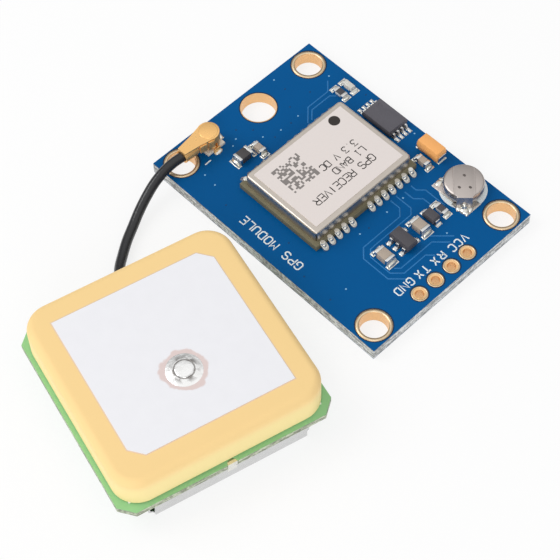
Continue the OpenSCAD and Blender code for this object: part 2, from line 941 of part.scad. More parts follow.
jack_bore_r = jack_d / 2 - jack_wall;
pin_r = 0.25;
tab_reach = 0.45;
jack_tab_w = 1;
jack_tab_t = 0.15;

module coax_jack_base() {
    color("#e8e2d2")
        on_jack()
            difference() {
                block(jack_s, jack_s, jack_base_h);
                translate([0, 0, -over])
                    cylinder(r = pin_r, h = jack_base_h + 2 * over);
            }
}

// The collar's two solder tabs lie on the board at both sides of the base
module coax_jack_collar() {
    color("#d9b56c")
        on_jack() {
            translate([0, 0, jack_base_h])
                difference() {
                    cylinder(d = jack_d, h = jack_h - jack_base_h);
                    translate([0, 0, -over])
                        cylinder(r = jack_bore_r, h = jack_h + 2 * over);
                }
            for (side = [0, 180])
                rotate(side) {
                    translate([jack_s / 2, -jack_tab_w / 2, 0])
                        cube([tab_reach, jack_tab_w, jack_tab_t]);
                    translate([jack_s / 2, -jack_tab_w / 2, 0])
                        cube([jack_tab_t, jack_tab_w, jack_base_h + jack_tab_t]);
                    translate([jack_d / 2 - jack_wall, -jack_tab_w / 4, jack_base_h])
                        cube([(jack_s - jack_d) / 2 + jack_wall + jack_tab_t, jack_tab_w / 2, jack_tab_t]);
                }
        }
}

module coax_jack_pin() {
    color("#d9b56c")
        on_jack() {
            cylinder(r = pin_r, h = jack_h - jack_tab_t);
            translate([-jack_tab_w / 2, jack_s / 2, 0])
                cube([jack_tab_w, tab_reach, jack_tab_t]);
        }
}

// Coaxial plug pressed on the jack, its crimp holding the cable

collar_fit_r = jack_d / 2 + plug_fit;
plug_foot = jack_base_h + jack_tab_t + plug_fit;
crimp_l = 1.9;
crimp_r = cable_d / 2 + cable_fit + plug_wall;
socket_r = 2 * pin_r;
socket_seat = 0.5;

// A trapezium on the -Y side of the X axis
module taper(near, far, l) {
    polygon([[near, 0], [-near, 0], [-far, -l], [far, -l]]);
}

// The cap springs over the collar, so it is slit, and its flat top narrows over the neck and the crimp
module coax_plug_shell() {
    arm_l = plug_reach - crimp_l;
    slit_w = 0.3;
    slit_h = 0.8;
    color("#eebf70")
        on_jack() {
            difference() {
                union() {
                    translate([0, 0, plug_foot])
                        cylinder(d = plug_d, h = plug_h - plug_foot);
                    translate([0, 0, cable_axis_z])
                        linear_extrude(plug_h - cable_axis_z)
                            taper(plug_d / 2, crimp_r, arm_l);
                }
                translate([0, 0, -over])
                    cylinder(r = collar_fit_r, h = plug_h - plug_wall + over);
                translate([0, 0, -over])
                    linear_extrude(plug_h - plug_wall + over)
                        taper(collar_fit_r, crimp_r - plug_wall, arm_l + over);
                block(2 * plug_d, slit_w, plug_foot + slit_h);
            }
            translate([0, -arm_l, plug_h - plug_wall])
                linear_extrude(plug_wall)
                    taper(crimp_r, plug_tail_w / 2, crimp_l);
            translate([0, -plug_reach, cable_axis_z])
                rotate([-90, 0, 0])
                    difference() {
                        cylinder(r = crimp_r, h = crimp_l);
                        translate([0, 0, -over])
                            cylinder(r = crimp_r - plug_wall, h = crimp_l + 2 * over);
                    }
        }
}

module coax_plug_insulator() {
    color("#efe9dc")
        on_jack()
            translate([0, 0, jack_h + plug_fit])
                difference() {
                    cylinder(r = collar_fit_r, h = plug_h - plug_wall - jack_h - plug_fit);
                    translate([0, 0, -over])
                        cylinder(r = socket_r, h = over + socket_seat);
                }
}

module coax_plug_contact() {
    foot = jack_base_h + plug_fit;
    color("#d9b56c")
        on_jack()
            translate([0, 0, foot])
                difference() {
                    cylinder(r = socket_r, h = jack_h + plug_fit + socket_seat - foot);
                    translate([0, 0, -over])
                        cylinder(r = pin_r + plug_fit, h = jack_h - foot + over);
                }
}

// Cable: one tube swept along its points

function unit(v) = v / norm(v);
function heading(p, i) = unit(p[min(i + 1, len(p) - 1)] - p[max(i - 1, 0)]);
function side_of(d) = unit(cross(d, [0, 0, 1]));
function ring(p, i, r, n) =
    let (d = heading(p, i), s = side_of(d), u = cross(s, d))
    [for (k = [0 : n - 1]) p[i] + r * (cos(360 * k / n) * s + sin(360 * k / n) * u)];

module tube(p, r, n) {
    last = len(p) - 1;
    points = [for (i = [0 : last]) each ring(p, i, r, n)];
    sides = [
        for (i = [0 : last - 1], k = [0 : n - 1])
            [i * n + k, (i + 1) * n + k, (i + 1) * n + (k + 1) % n, i * n + (k + 1) % n]
    ];
    first_cap = [for (k = [0 : n - 1]) k];
    last_cap = [for (k = [n - 1 : -1 : 0]) last * n + k];
    polyhedron(points, concat([first_cap], sides, [last_cap]));
}

module antenna_cable() {
    color("#38383a")
        tube(cable_points, cable_d / 2, cable_sides);
}

cable_tip = cable_points[len(cable_points) - 1];
cable_heading = heading(cable_points, len(cable_points) - 1);
core_l = 1.2;
core_r = 0.15;

module at_cable_tip() {
    translate(cable_tip)
        rotate(atan2(cable_heading.y, cable_heading.x))
            children();
}

module cable_core() {
    color("#c98a55")
        at_cable_tip()
            rotate([0, 90, 0])
                cylinder(r = core_r, h = core_l);
}

// Solder joins the core to the underside of the antenna's circuit board
module cable_solder() {
    joint_s = 0.9;
    color("#d6d6d4")
        at_cable_tip()
            translate([core_l + joint_s / 2, 0, -core_r])
                block(joint_s, joint_s, shield_h - cable_end_z + core_r);
}

// Antenna

module feed_hole(h) {
    translate([feed_offset, 0, -over])
        cylinder(d = feed_d + 2 * feed_fit, h = h + 2 * over);
}

module ceramic_patch() {
    color("#fdd791")
        at_antenna()
            translate([0, 0, ceramic_z])
                difference() {
                    soft_block(ceramic_s, ceramic_s, ceramic_t, ceramic_corner_r, ceramic_edge_r);
                    feed_hole(ceramic_t);
                }
}

// Two opposite corners are cut so that the patch takes up circular waves
module patch_electrode() {
    half = electrode_s / 2;
    inner = half - electrode_cut;
    color("#eeeef0")
        at_antenna()
            translate([0, 0, electrode_z])
                difference() {
                    linear_extrude(electrode_t)
                        polygon([
                            [half, half], [-inner, half], [-half, inner],
                            [-half, -half], [inner, -half], [half, -inner]
                        ]);
                    feed_hole(electrode_t);
                }
}

module square_layer(s, z, t) {
    at_antenna()
        translate([0, 0, z])
            difference() {
                block(s, s, t);
                feed_hole(t);
            }
}

module ground_electrode() {
    color("#e4e4e6")
        square_layer(adhesive_s, ground_z, electrode_t);
}

module adhesive_pad() {
    color("#e9e4d2")
        square_layer(adhesive_s, adhesive_z, adhesive_t);
}

module feed_pin() {
    crown = 0.1;
    color("#dcdcdc")
        at_antenna()
            translate([feed_offset, 0, 0])
                rotate_extrude()
                    polygon([
                        [0, shield_h - feed_tail], [feed_d / 2, shield_h - feed_tail], [feed_d / 2, feed_top],
                        [feed_head_d / 2, feed_top], [feed_head_d / 2, feed_top + feed_head_h - crown],
                        [feed_head_d / 2 - crown, feed_top + feed_head_h], [0, feed_top + feed_head_h]
                    ]);
}

module feed_solder() {
    r = feed_solder_d / 2;
    head_r = feed_head_d / 2;
    climb = 0.7;
    color("#c9c9cb")
        at_antenna()
            translate([feed_offset, 0, feed_top])
                rotate_extrude()
                    polygon([
                        [head_r, 0], [r, 0], [(r + head_r) / 2, feed_head_h * climb / 2],
                        [head_r, feed_head_h * climb]
                    ]);
}

// The notch is in the +X edge of the antenna's own frame
module at_notch() {
    translate([antenna_board_s / 2, 0, 0])
        children();
}

module antenna_board() {
    half = antenna_board_s / 2;
    cut = half - antenna_chamfer;
    color("#5aa55a")
        at_antenna()
            translate([0, 0, shield_h])
                difference() {
                    linear_extrude(antenna_board_t)
                        polygon([
                            [half, cut], [cut, half], [-cut, half], [-half, cut],
                            [-half, -cut], [-cut, -half], [cut, -half], [half, -cut]
                        ]);
                    feed_hole(antenna_board_t);
                    at_notch()
                        translate([0, 0, -over])
                            cylinder(r = notch_r, h = antenna_board_t + 2 * over);
                }
}

// The shield's sides as [turn, distance from its middle, width]
shield_sides = [
    [0, shield_l / 2, shield_w], [90, shield_w / 2, shield_l],
    [180, shield_l / 2, shield_w], [270, shield_w / 2, shield_l]
];

module at_shield_sides(which) {
    at_antenna()
        translate([shield_x, 0, 0])
            for (i = which)
                rotate(shield_sides[i][0])
                    translate([shield_sides[i][1], 0, 0])
                        children();
}

// One side of the shield: a bend at its foot and a wall up to the circuit board
module shield_side(half, width) {
    inner_r = shield_bend_r - shield_wall;
    rotate([90, 0, 0])
        linear_extrude(width - 2 * shield_slit, center = true)
            translate([half - shield_bend_r, 0]) {
                translate([inner_r, shield_bend_r])
                    square([shield_wall, shield_h - shield_bend_r]);
                translate([0, shield_bend_r])
                    intersection() {
                        difference() {
                            circle(shield_bend_r);
                            circle(inner_r);
                        }
                        translate([0, -shield_bend_r])
                            square(shield_bend_r);
                    }
            }
}

module antenna_shield() {
    slot_l = 5;
    slot_w = 2.6;
    slot_foot = cable_end_z - cable_d / 2 - 2 * cable_fit;
    color("#d2d2d2")
        difference() {
            at_antenna()
                translate([shield_x, 0, 0]) {
                    block(shield_l - 2 * shield_bend_r, shield_w - 2 * shield_bend_r, shield_wall);
                    for (s = shield_sides)
                        rotate(s[0])
                            shield_side(s[1], s[2]);
                }
            translate([cable_entry.x, cable_entry.y, slot_foot])
                rotate(antenna_turn)
                    block(slot_l, slot_w, shield_h);
        }
}

// Solder fills the notch and joins the walls to the board on every side but the cable's
module shield_solder() {
    solder_margin = 0.1;
    reach = shield_inset - solder_margin;
    drop = 1.2;
    color("#dadada") {
        at_antenna()
            at_notch()
                translate([0, 0, shield_h])
                    intersection() {
                        cylinder(r = notch_r, h = antenna_board_t);
                        translate([-notch_r, -notch_r, 0])
                            cube([notch_r, 2 * notch_r, antenna_board_t]);
                    }
        at_shield_sides([0, 1, 3])
            translate([0, 0, shield_h])
                rotate([90, 0, 0])
                    linear_extrude(2 * notch_r, center = true)
                        polygon([[0, 0], [reach, 0], [0, -drop]]);
    }
}

// Parts under the antenna's circuit board hang from its lower face

amplifier_x = -0.5;
amplifier_y = 3;
antenna_filter_x = -5;
antenna_filter_y = 4.5;
passive_x = -6;
passive_y = -3.5;
passive_pitch = 2;

module under_antenna(x, y, h) {
    at_antenna()
        translate([x, y, shield_h - h])
            children();
}

module antenna_amplifier() {
    color("#333336")
        under_antenna(amplifier_x, amplifier_y, amplifier_h)
            block(amplifier_l, amplifier_w, amplifier_h);
}

module antenna_filter() {
    color("#c2ab5c")
        under_antenna(antenna_filter_x, antenna_filter_y, antenna_filter_h)
            block(antenna_filter_s, antenna_filter_s, antenna_filter_h);
}

module antenna_passives() {
    color("#b08a5e")
        for (i = [0 : 4])
            under_antenna(passive_x + i * passive_pitch, passive_y, tiny_h) block(tiny_l, tiny_w, tiny_h);
}

main_board();
mounting_eyelets();
lead_hole_eyelet();
header_eyelets();
receiver_substrate();
receiver_contacts();
receiver_cover();
receiver_label();
receiver_chip();
receiver_oscillator();
receiver_filter();
receiver_passives();
memory_body();
memory_leads();
regulator_body();
regulator_leads();
diode_body();
diode_leads();
tantalum_body();
tantalum_terminals();
capacitor_bodies();
capacitor_ends();
resistor_bodies();
resistor_coatings();
resistor_ends();
light_base();
light_lens();
light_ends();
inductor_body();
inductor_ends();
solder_fillets();
battery_can();
battery_gasket();
battery_cap();
battery_upper_tab();
battery_lower_tab();
coax_jack_base();
coax_jack_collar();
coax_jack_pin();
coax_plug_shell();
coax_plug_insulator();
coax_plug_contact();
antenna_cable();
cable_core();
cable_solder();
ceramic_patch();
patch_electrode();
ground_electrode();
adhesive_pad();
feed_pin();
feed_solder();
antenna_board();
antenna_shield();
shield_solder();
antenna_amplifier();
antenna_filter();
antenna_passives();
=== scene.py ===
"""Finishes for a satellite receiver board and its patch antenna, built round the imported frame."""

import json
import math

import bmesh
import bpy
from bpy.props import FloatProperty, FloatVectorProperty, IntProperty, PointerProperty
from bpy.types import Operator, Panel, PropertyGroup
from mathutils import Matrix, Vector


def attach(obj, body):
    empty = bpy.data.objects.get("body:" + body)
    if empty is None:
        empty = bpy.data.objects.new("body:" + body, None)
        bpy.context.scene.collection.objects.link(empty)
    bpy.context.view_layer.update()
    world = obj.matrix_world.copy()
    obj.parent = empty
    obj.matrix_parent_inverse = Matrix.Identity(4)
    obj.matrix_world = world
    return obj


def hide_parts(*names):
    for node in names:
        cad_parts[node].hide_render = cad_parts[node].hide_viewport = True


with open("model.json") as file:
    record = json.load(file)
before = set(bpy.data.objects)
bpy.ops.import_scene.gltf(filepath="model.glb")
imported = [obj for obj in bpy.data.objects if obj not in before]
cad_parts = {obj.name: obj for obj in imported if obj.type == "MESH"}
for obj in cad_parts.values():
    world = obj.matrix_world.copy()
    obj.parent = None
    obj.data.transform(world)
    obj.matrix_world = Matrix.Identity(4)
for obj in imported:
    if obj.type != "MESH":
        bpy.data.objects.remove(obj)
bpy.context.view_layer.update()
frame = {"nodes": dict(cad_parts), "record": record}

bl_info = {
    "name": "Receiver board and patch antenna",
    "version": (1, 0, 0),
    "blender": (4, 5, 0),
    "location": "View3D > Sidebar > Receiver",
    "description": "Dresses the receiver board, its cable and its antenna",
    "category": "Object",
}

MM = 0.001
SLOTS = {part["node"]: part["material_slot"] for part in frame["record"]["subparts"]}
# Materials by name, made by the first step
FINISHES = {}

SHARP = math.radians(28)
FLAT = math.radians(0.5)
MERGE = 2e-7
RING_SIDES = 64
PATH_STEPS = 8
EDGE_FACES = 2
EDGE_PROFILE = 0.5

# How far edges are broken, in millimetres
AS_CUT = 0.0
KEEN_EDGE = 0.02
FINE_EDGE = 0.03
PLAIN_EDGE = 0.04
SOFT_EDGE = 0.05
ROUND_EDGE = 0.06
FLOWED_EDGE = 0.1


def merged(node):
    """A node's mesh with its loose triangles joined up."""
    shape = bmesh.new()
    shape.from_mesh(frame["nodes"][node].data)
    bmesh.ops.remove_doubles(shape, verts=shape.verts, dist=MERGE)
    return shape


def box_of(points):
    """The lowest and the highest corner round points in metres, in millimetres."""
    return [
        Vector([pick(point[i] for point in points) / MM for i in range(3)]) for pick in (min, max)
    ]


def corners(node):
    """The lowest and the highest corner of a node, in millimetres."""
    return box_of([vertex.co for vertex in frame["nodes"][node].data.vertices])


def middle(node):
    """The middle of a node, in millimetres."""
    low, high = corners(node)
    return (low + high) / 2


def half_width(node):
    """Half the width of a node, in millimetres."""
    low, high = corners(node)
    return (high.x - low.x) / 2


def solids(node):
    """The boxes of a node's separate solids, each as (middle, size) in millimetres."""
    shape = merged(node)
    seen, boxes = set(), []
    for first in shape.verts:
        if first in seen:
            continue
        seen.add(first)
        group = [first]
        for vertex in group:
            for edge in vertex.link_edges:
                other = edge.other_vert(vertex)
                if other not in seen:
                    seen.add(other)
                    group.append(other)
        low, high = box_of([vertex.co for vertex in group])
        boxes.append(((low + high) / 2, high - low))
    shape.free()
    return boxes


# Places in millimetres, taken from the frame
BOARD_HIGH = corners("main_board")[1]
BOARD_TOP = BOARD_HIGH.z
LABEL = middle("receiver_label")
LABEL_TOP = corners("receiver_label")[1].z
BATTERY = middle("battery_can")
TAB_TOP = corners("battery_upper_tab")[1].z
ANTENNA = middle("ceramic_patch")
CERAMIC_TOP = corners("ceramic_patch")[1].z
ANTENNA_BOARD_LOW, ANTENNA_BOARD_TOP = (corner.z for corner in corners("antenna_board"))
FEED = middle("feed_pin")
FEED_HEAD_R = half_width("feed_pin")
ANTENNA_TURN = math.radians(-14.3)
ELECTRODE_HALF = 9.25
ELECTRODE_CUT = 1.4

# The cable's line from the plug into the antenna
CABLE_POINTS = (
    (-15, -8.6, 3.05), (-15, -10.3, 3.05), (-15.1, -11.5, 3), (-15.1, -13, 2.75),
    (-14.9, -14.6, 2.3), (-14.5, -16.2, 1.75), (-13.9, -17.9, 1.2), (-13.1, -19.6, 0.8),
    (-12.2, -21.3, 0.65), (-11.1, -22.9, 0.7), (-9.9, -24.4, 1), (-8.5, -25.6, 1.45),
    (-7, -26.5, 1.85), (-5.4, -27, 2), (-3.4, -27.5, 2), (-1.4, -28, 2), (1, -28.6, 2),
)

# Conductors that show through the mask, as lines of corners on the board
TRACES = (
    ((5.2, 2.87), (6.6, 2.87), (7.45, 2.02), (7.45, -3.8), (8.5, -4.85), (12.2, -4.85),
     (13.6, -3.45)),
    ((5.2, 3.75), (7.5, 3.75), (8.15, 3.1), (8.15, -3.4), (8.9, -4.15), (11.85, -4.15),
     (12.95, -3.05), (12.95, 0.3), (13.7, 1.05)),
    ((5.5, 4.85), (6.8, 4.85), (7.6, 5.65), (9.2, 5.65)),
    ((5.4, 5.95), (6.2, 5.95), (6.95, 6.7), (9.9, 6.7)),
    ((11.3, 2.25), (13.45, 4.4)),
    ((11.7, -3.4), (12.25, -2.85), (12.25, 2.05), (13.7, 3.5)),
    ((-9.1, 4.65), (-10.15, 5.7), (-10.15, 8.6), (-9.6, 9.15)),
    ((-9.1, 4.0), (-10.75, 5.65), (-10.75, 8.9), (-11.9, 10.05)),
)
BRIGHT_VIAS = (
    (-16.45, 5.68), (-10.67, 3.93), (-11.35, -1.05), (-13.34, -3.44), (-12.85, -4.37),
    (-10.61, 1.12), (5.98, 1.46), (5.92, -2.79), (12.63, 4.11), (5.92, 4.11), (-12.31, 10.65),
    (9.9, -9.02), (-10.31, -9.58), (-12.12, -9.43), (0.6, 11.6),
)
DARK_VIAS = (
    (-12.19, 7.4), (-14.58, 5.65), (-12.27, 4.2), (-10.37, -0.07), (-14.28, -2.54),
    (-12.89, -1.16), (-10.52, 2.64), (6.07, -1.51), (-7.42, -10.6), (1.2, -9.2), (5.54, -11.1),
    (9.66, -11.2), (-7.3, 11.7),
)
# Weld spots on the cell's upper tab, from the cell's middle
WELDS = ((-0.39, 0.45), (0.33, -1.15), (1.2, -0.29))

# Strokes of the printed letters on a grid four wide and six high
LETTERS = {
    "1": (((1, 5), (2, 6), (2, 0)), ((1, 0), (3, 0))),
    "3": (((0, 6), (4, 6), (2, 3.5), (3, 3.5), (4, 2.5), (4, 1), (3, 0), (1, 0), (0, 1)),),
    ".": (((1.8, 0), (2.2, 0)),),
    "A": (((0, 0), (2, 6), (4, 0)), ((0.7, 2), (3.3, 2))),
    "B": (
        ((0, 0), (0, 6), (3, 6), (4, 5), (4, 4), (3, 3), (0, 3)),
        ((3, 3), (4, 2), (4, 1), (3, 0), (0, 0)),
    ),
    "C": (((4, 5), (3, 6), (1, 6), (0, 5), (0, 1), (1, 0), (3, 0), (4, 1)),),
    "D": (((0, 0), (0, 6), (3, 6), (4, 5), (4, 1), (3, 0), (0, 0)),),
    "E": (((4, 6), (0, 6), (0, 0), (4, 0)), ((0, 3), (3, 3))),
    "G": (((4, 5), (3, 6), (1, 6), (0, 5), (0, 1), (1, 0), (3, 0), (4, 1), (4, 3), (2.4, 3)),),
    "I": (((2, 0), (2, 6)),),
    "L": (((0, 6), (0, 0), (4, 0)),),
    "M": (((0, 0), (0, 6), (2, 3), (4, 6), (4, 0)),),
    "N": (((0, 0), (0, 6), (4, 0), (4, 6)),),
    "O": (((1, 0), (0, 1), (0, 5), (1, 6), (3, 6), (4, 5), (4, 1), (3, 0), (1, 0)),),
    "P": (((0, 0), (0, 6), (3, 6), (4, 5), (4, 4), (3, 3), (0, 3)),),
    "R": (((0, 0), (0, 6), (3, 6), (4, 5), (4, 4), (3, 3), (0, 3)), ((2, 3), (4, 0))),
    "S": (
        ((4, 5), (3, 6), (1, 6), (0, 5), (0, 4), (1, 3), (3, 3), (4, 2), (4, 1), (3, 0), (1, 0),
         (0, 1)),
    ),
    "T": (((0, 6), (4, 6)), ((2, 6), (2, 0))),
    "U": (((0, 6), (0, 1), (1, 0), (3, 0), (4, 1), (4, 6)),),
    "V": (((0, 6), (2, 0), (4, 6)),),
    "X": (((0, 0), (4, 6)), ((0, 6), (4, 0))),
}
LETTER_ROWS = 6

# Words on the board as (word, start of its foot line, reading direction, height, letter pitch)
BOARD_WORDS = (
    ("VCC", (13.92, 5.32), (0, -1), 0.95, 0.96),
    ("RX", (13.77, 1.87), (0, -1), 0.95, 1.1),
    ("TX", (13.72, -0.69), (0, -1), 0.95, 1.04),
    ("GND", (13.69, -3.05), (0, -1), 0.95, 0.94),
    ("GPS MODULE", (4.45, -10.05), (-1, 0), 1.0, 0.95),
)
# Words on the label, placed from its middle
LABEL_WORDS = (
    ("GPS RECEIVER", (2.2, 4.5), (0, -1), 0.95, 0.78),
    ("L1 BAND", (0.75, 4.5), (0, -1), 0.85, 0.7),
    ("3.3 V DC", (-0.6, 4.5), (0, -1), 0.85, 0.7),
)
# Marks on the label: their places are from its middle, and an edge is where a mark fades
PIN_MARK = (-3.94, 4.89)
PIN_MARK_EDGE = (0.66 * MM, 0.72 * MM)
CODE_FIELD = (-1.82, -3.37)
CODE_SIDE = 3.94
CODE_CELLS = 16
CODE_CHANCE = 0.47
CODE_INK = 0.72

# A board's edge: the slope where fibres show, the share of its half that is mask, and its tones
CUT_SLOPE = (0.4, 0.6)
MASK_SHARE = (0.455, 0.475)
MASK_EDGE_TONE = 0.8
TORN = (0.4, 0.58)
TORN_TONE = 0.42

# The antenna: the browned line by the silver, how far down from the top its side faces are painted
# paler as painted light, the feed's stains, and the band round the feed's head with painted shade
# and smudges
BROWN_EDGE = (0.06 * MM, 0.18 * MM)
FACE_DEPTH = 0.1
LIT_SIDE_DEPTH = (2, 0.2)
STAIN_EDGE = (2.3 * MM, 2.6 * MM)
STAIN_WANDER = 1.3 * MM
SHADE_AND_SMUDGE_INNER = (-0.3 * MM, 0.05 * MM)
SHADE_AND_SMUDGE_OUTER = (0.05 * MM, 0.75 * MM)


def paint(code):
    """A screen colour such as "#0a5a9c" as the linear numbers that a shader takes."""
    parts = [int(code[i:i + 2], 16) / 255 for i in (1, 3, 5)]
    return tuple(c / 12.92 if c <= 0.04045 else ((c + 0.055) / 1.055) ** 2.4 for c in parts)


def colour(label, code):
    """A colour that a user may change."""
    return FloatVectorProperty(
        name=label, description=f"Colour of the {label.lower()}", subtype="COLOR",
        size=3, min=0, max=1, default=paint(code),
    )


def length(label, default):
    """A length that a user may change, in metres."""
    return FloatProperty(
        name=label, description=f"{label} in metres", subtype="DISTANCE", unit="LENGTH",
        min=0, default=default, precision=5,
    )


class BoardFinish(PropertyGroup):
    """Colours and sizes of the main board and what is printed on it."""

    mask: colour("Solder mask", "#005795")
    trace: colour("Masked conductors", "#2a79b9")
    via: colour("Bright vias", "#86bbe0")
    tented: colour("Dark vias", "#00406f")
    clearance: colour("Mask clearance", "#0b3355")
    fibre: colour("Cut edge", "#e2e4e4")
    gold: colour("Gold plating", "#f2c48d")
    rim: colour("Plating rims", "#e3cba8")
    ink: colour("Printed ink", "#eef6f8")
    trace_width: length("Conductor width", 0.17 * MM)
    trace_height: length("Conductor height", 0.03 * MM)
    ink_width: length("Ink line width", 0.17 * MM)
    via_radius: length("Via radius", 0.11 * MM)
    clearance_width: length("Mask clearance width", 0.13 * MM)
    rim_width: length("Plating rim width", 0.36 * MM)
    header_rim_width: length("Header rim width", 0.16 * MM)


class ReceiverFinish(PropertyGroup):
    """Colours of the receiver."""

    cover: colour("Cover", "#cfc6bc")
    label: colour("Label", "#e9e0dc")
    print_ink: colour("Label print", "#3a3634")
    print_width: length("Label line width", 0.13 * MM)
    laminate: colour("Receiver board", "#77715a")
    code_seed: IntProperty(
        name="Code seed", description="Seed of the printed code's cells", default=7,
    )


class PartsFinish(PropertyGroup):
    """Colours of the small parts on the board."""

    mould: colour("Moulded bodies", "#4f4d52")
    memory: colour("Memory body", "#5e5c63")
    tantalum: colour("Tantalum body", "#ffb56c")
    ceramic: colour("Capacitor bodies", "#b4a698")
    alumina: colour("Resistor bodies", "#e6e3dc")
    ferrite: colour("Inductor body", "#484546")
    lens: colour("Light", "#f4f2ea")
    tin: colour("Tinned metal", "#dcdcda")
    solder: colour("Solder", "#e2e1da")
    steel: colour("Cell steel", "#c6bdb8")


class AntennaFinish(PropertyGroup):
    """Colours of the antenna."""

    ceramic: colour("Patch ceramic", "#fedb9a")
    silver: colour("Silver face", "#f3f3f7")
    mask: colour("Antenna board mask", "#98cf93")
    tinplate: colour("Shield", "#d6d6d6")
    flux: colour("Flux stain", "#dfc5be")


class CableFinish(PropertyGroup):
    """Colours and size of the cable and its connector."""

    jacket: colour("Cable jacket", "#262629")
    gold: colour("Connector gold", "#ffc982")
    plastic: colour("Connector plastic", "#ece5d8")
    diameter: length("Cable diameter", 1.2 * MM)
    cord_length: length("Cable length", 30.2 * MM)


class StageFinish(PropertyGroup):
    """Light and floor."""

    floor: colour("Floor", "#fdfdfd")
    key: FloatProperty(
        name="Key light", description="Power of the key light", unit="POWER", default=0.85,
    )
    fill: FloatProperty(
        name="Fill light", description="Power of the fill light", unit="POWER", default=0.75,
    )
    sky: FloatProperty(name="Sky", description="Strength of the surrounding light", default=0.6)
    horizon: FloatProperty(
        name="Horizon", description="Strength of the sky that low reflections see", default=0.3,
    )


class Value:
    """A socket whose arithmetic adds Math nodes to its graph."""

    def __init__(self, graph, socket):
        self.graph, self.socket = graph, socket

    def _math(self, operation, first, second):
        return self.graph.node("ShaderNodeMath", {"operation": operation}, {0: first, 1: second})

    def __add__(self, other):
        return self._math("ADD", self, other)

    def __sub__(self, other):
        return self._math("SUBTRACT", self, other)

    def __rsub__(self, other):
        return self._math("SUBTRACT", other, self)

    def __mul__(self, other):
        return self._math("MULTIPLY", self, other)

    def __truediv__(self, other):
        return self._math("DIVIDE", self, other)

    def __pow__(self, other):
        return self._math("POWER", self, other)

    def __abs__(self):
        return self._math("ABSOLUTE", self, 0)

    def __gt__(self, other):
        return self._math("GREATER_THAN", self, other)

    def __lt__(self, other):
        return self._math("LESS_THAN", self, other)

    def __and__(self, other):
        return self._math("MINIMUM", self, other)

    def __or__(self, other):
        return self._math("MAXIMUM", self, other)

    __radd__ = __add__
    __rmul__ = __mul__


def socket_of(sockets, key):
    """The socket at an index, or the one with that identifier or name."""
    if isinstance(key, int):
        return sockets[key]
    for attribute in ("identifier", "name"):
        for socket in sockets:
            if getattr(socket, attribute) == key:
                return socket
    raise KeyError(key)


class Graph:
    """A node tree that is wired with Python values."""

    def __init__(self, tree):
        self.tree = tree

    def feed(self, socket, value):
        """Links a value to a socket, or sets the socket to a constant."""
        if isinstance(value, Value):
            self.tree.links.new(value.socket, socket)
        elif socket.type == "RGBA":
            socket.default_value = (*value, 1.0)
        else:
            socket.default_value = value

    def node(self, kind, settings=None, inputs=None, output=0):
        """Adds a node, sets it up, feeds its sockets and gives back one of its outputs."""
        made = self.tree.nodes.new(kind)
        for key, value in (settings or {}).items():
            setattr(made, key, value)
        for key, value in (inputs or {}).items():
            self.feed(socket_of(made.inputs, key), value)
        return Value(self, socket_of(made.outputs, output))


class Finish(Graph):
    """A material in the making: one principled surface and what varies over it."""

    def __init__(self, name, **constants):
        self.material = bpy.data.materials.new(name)
        self.material.use_nodes = True
        super().__init__(self.material.node_tree)
        self.surface = self.tree.nodes["Principled BSDF"]
        self.set(**constants)
        self.place = self.node("ShaderNodeTexCoord", output="Object")

    def set(self, **sockets):
        """Feeds the surface; base_color stands for Base Color, and so on."""
        for key, value in sockets.items():
            name = " ".join(w.upper() if w == "ior" else w.title() for w in key.split("_"))
            self.feed(socket_of(self.surface.inputs, name), value)
        return self

    def local(self, centre, turn=0.0):
        """Coordinates round a centre in millimetres of the frame, turned with the piece."""
        location = (centre[0] * MM, centre[1] * MM, 0)
        return self.node(
            "ShaderNodeMapping", {"vector_type": "TEXTURE"},
            {"Vector": self.place, "Location": location, "Rotation": (0, 0, turn)},
        )

    def axes(self, place=None):
        """The three coordinates of a place, in metres."""
        split = self.tree.nodes.new("ShaderNodeSeparateXYZ")
        self.feed(split.inputs[0], place or self.place)
        return [Value(self, socket) for socket in split.outputs]

    def away(self, centre):
        """The distance from a centre on the plane, in metres."""
        across, along, _ = self.axes(self.local(centre))
        return (across * across + along * along) ** 0.5

    def noise(self, size, detail=2.0, stretch=(1, 1, 1)):
        """Noise from 0 to 1 in lumps of about size millimetres, which stretch makes longer."""
        scale = tuple(1 / (size * MM * s) for s in stretch)
        spread = self.node(
            "ShaderNodeVectorMath", {"operation": "MULTIPLY"}, {0: self.place, 1: scale},
        )
        return self.node(
            "ShaderNodeTexNoise", inputs={"Vector": spread, "Scale": 1.0, "Detail": detail},
        )

    def step(self, value, low, high):
        """0 below low, 1 above high and a soft rise between them."""
        return self.node(
            "ShaderNodeMapRange", {"interpolation_type": "SMOOTHSTEP"},
            {"Value": value, "From Min": low, "From Max": high},
        )

    def mix(self, share, first, second):
        """A colour between two others."""
        return self.node(
            "ShaderNodeMix", {"data_type": "RGBA"},
            {"Factor_Float": share, "A_Color": first, "B_Color": second}, "Result_Color",
        )

    def shade(self, base, share, amount):
        """A colour that is darkened and lightened by amount as share goes from 0 to 1."""
        return self.mix(share, toned(base, 1 - amount), toned(base, 1 + amount))

    def bump(self, height, depth):
        """Relief of depth millimetres on the surface."""
        relief = {"Height": height, "Strength": 1.0, "Distance": depth * MM}
        return self.set(normal=self.node("ShaderNodeBump", inputs=relief))


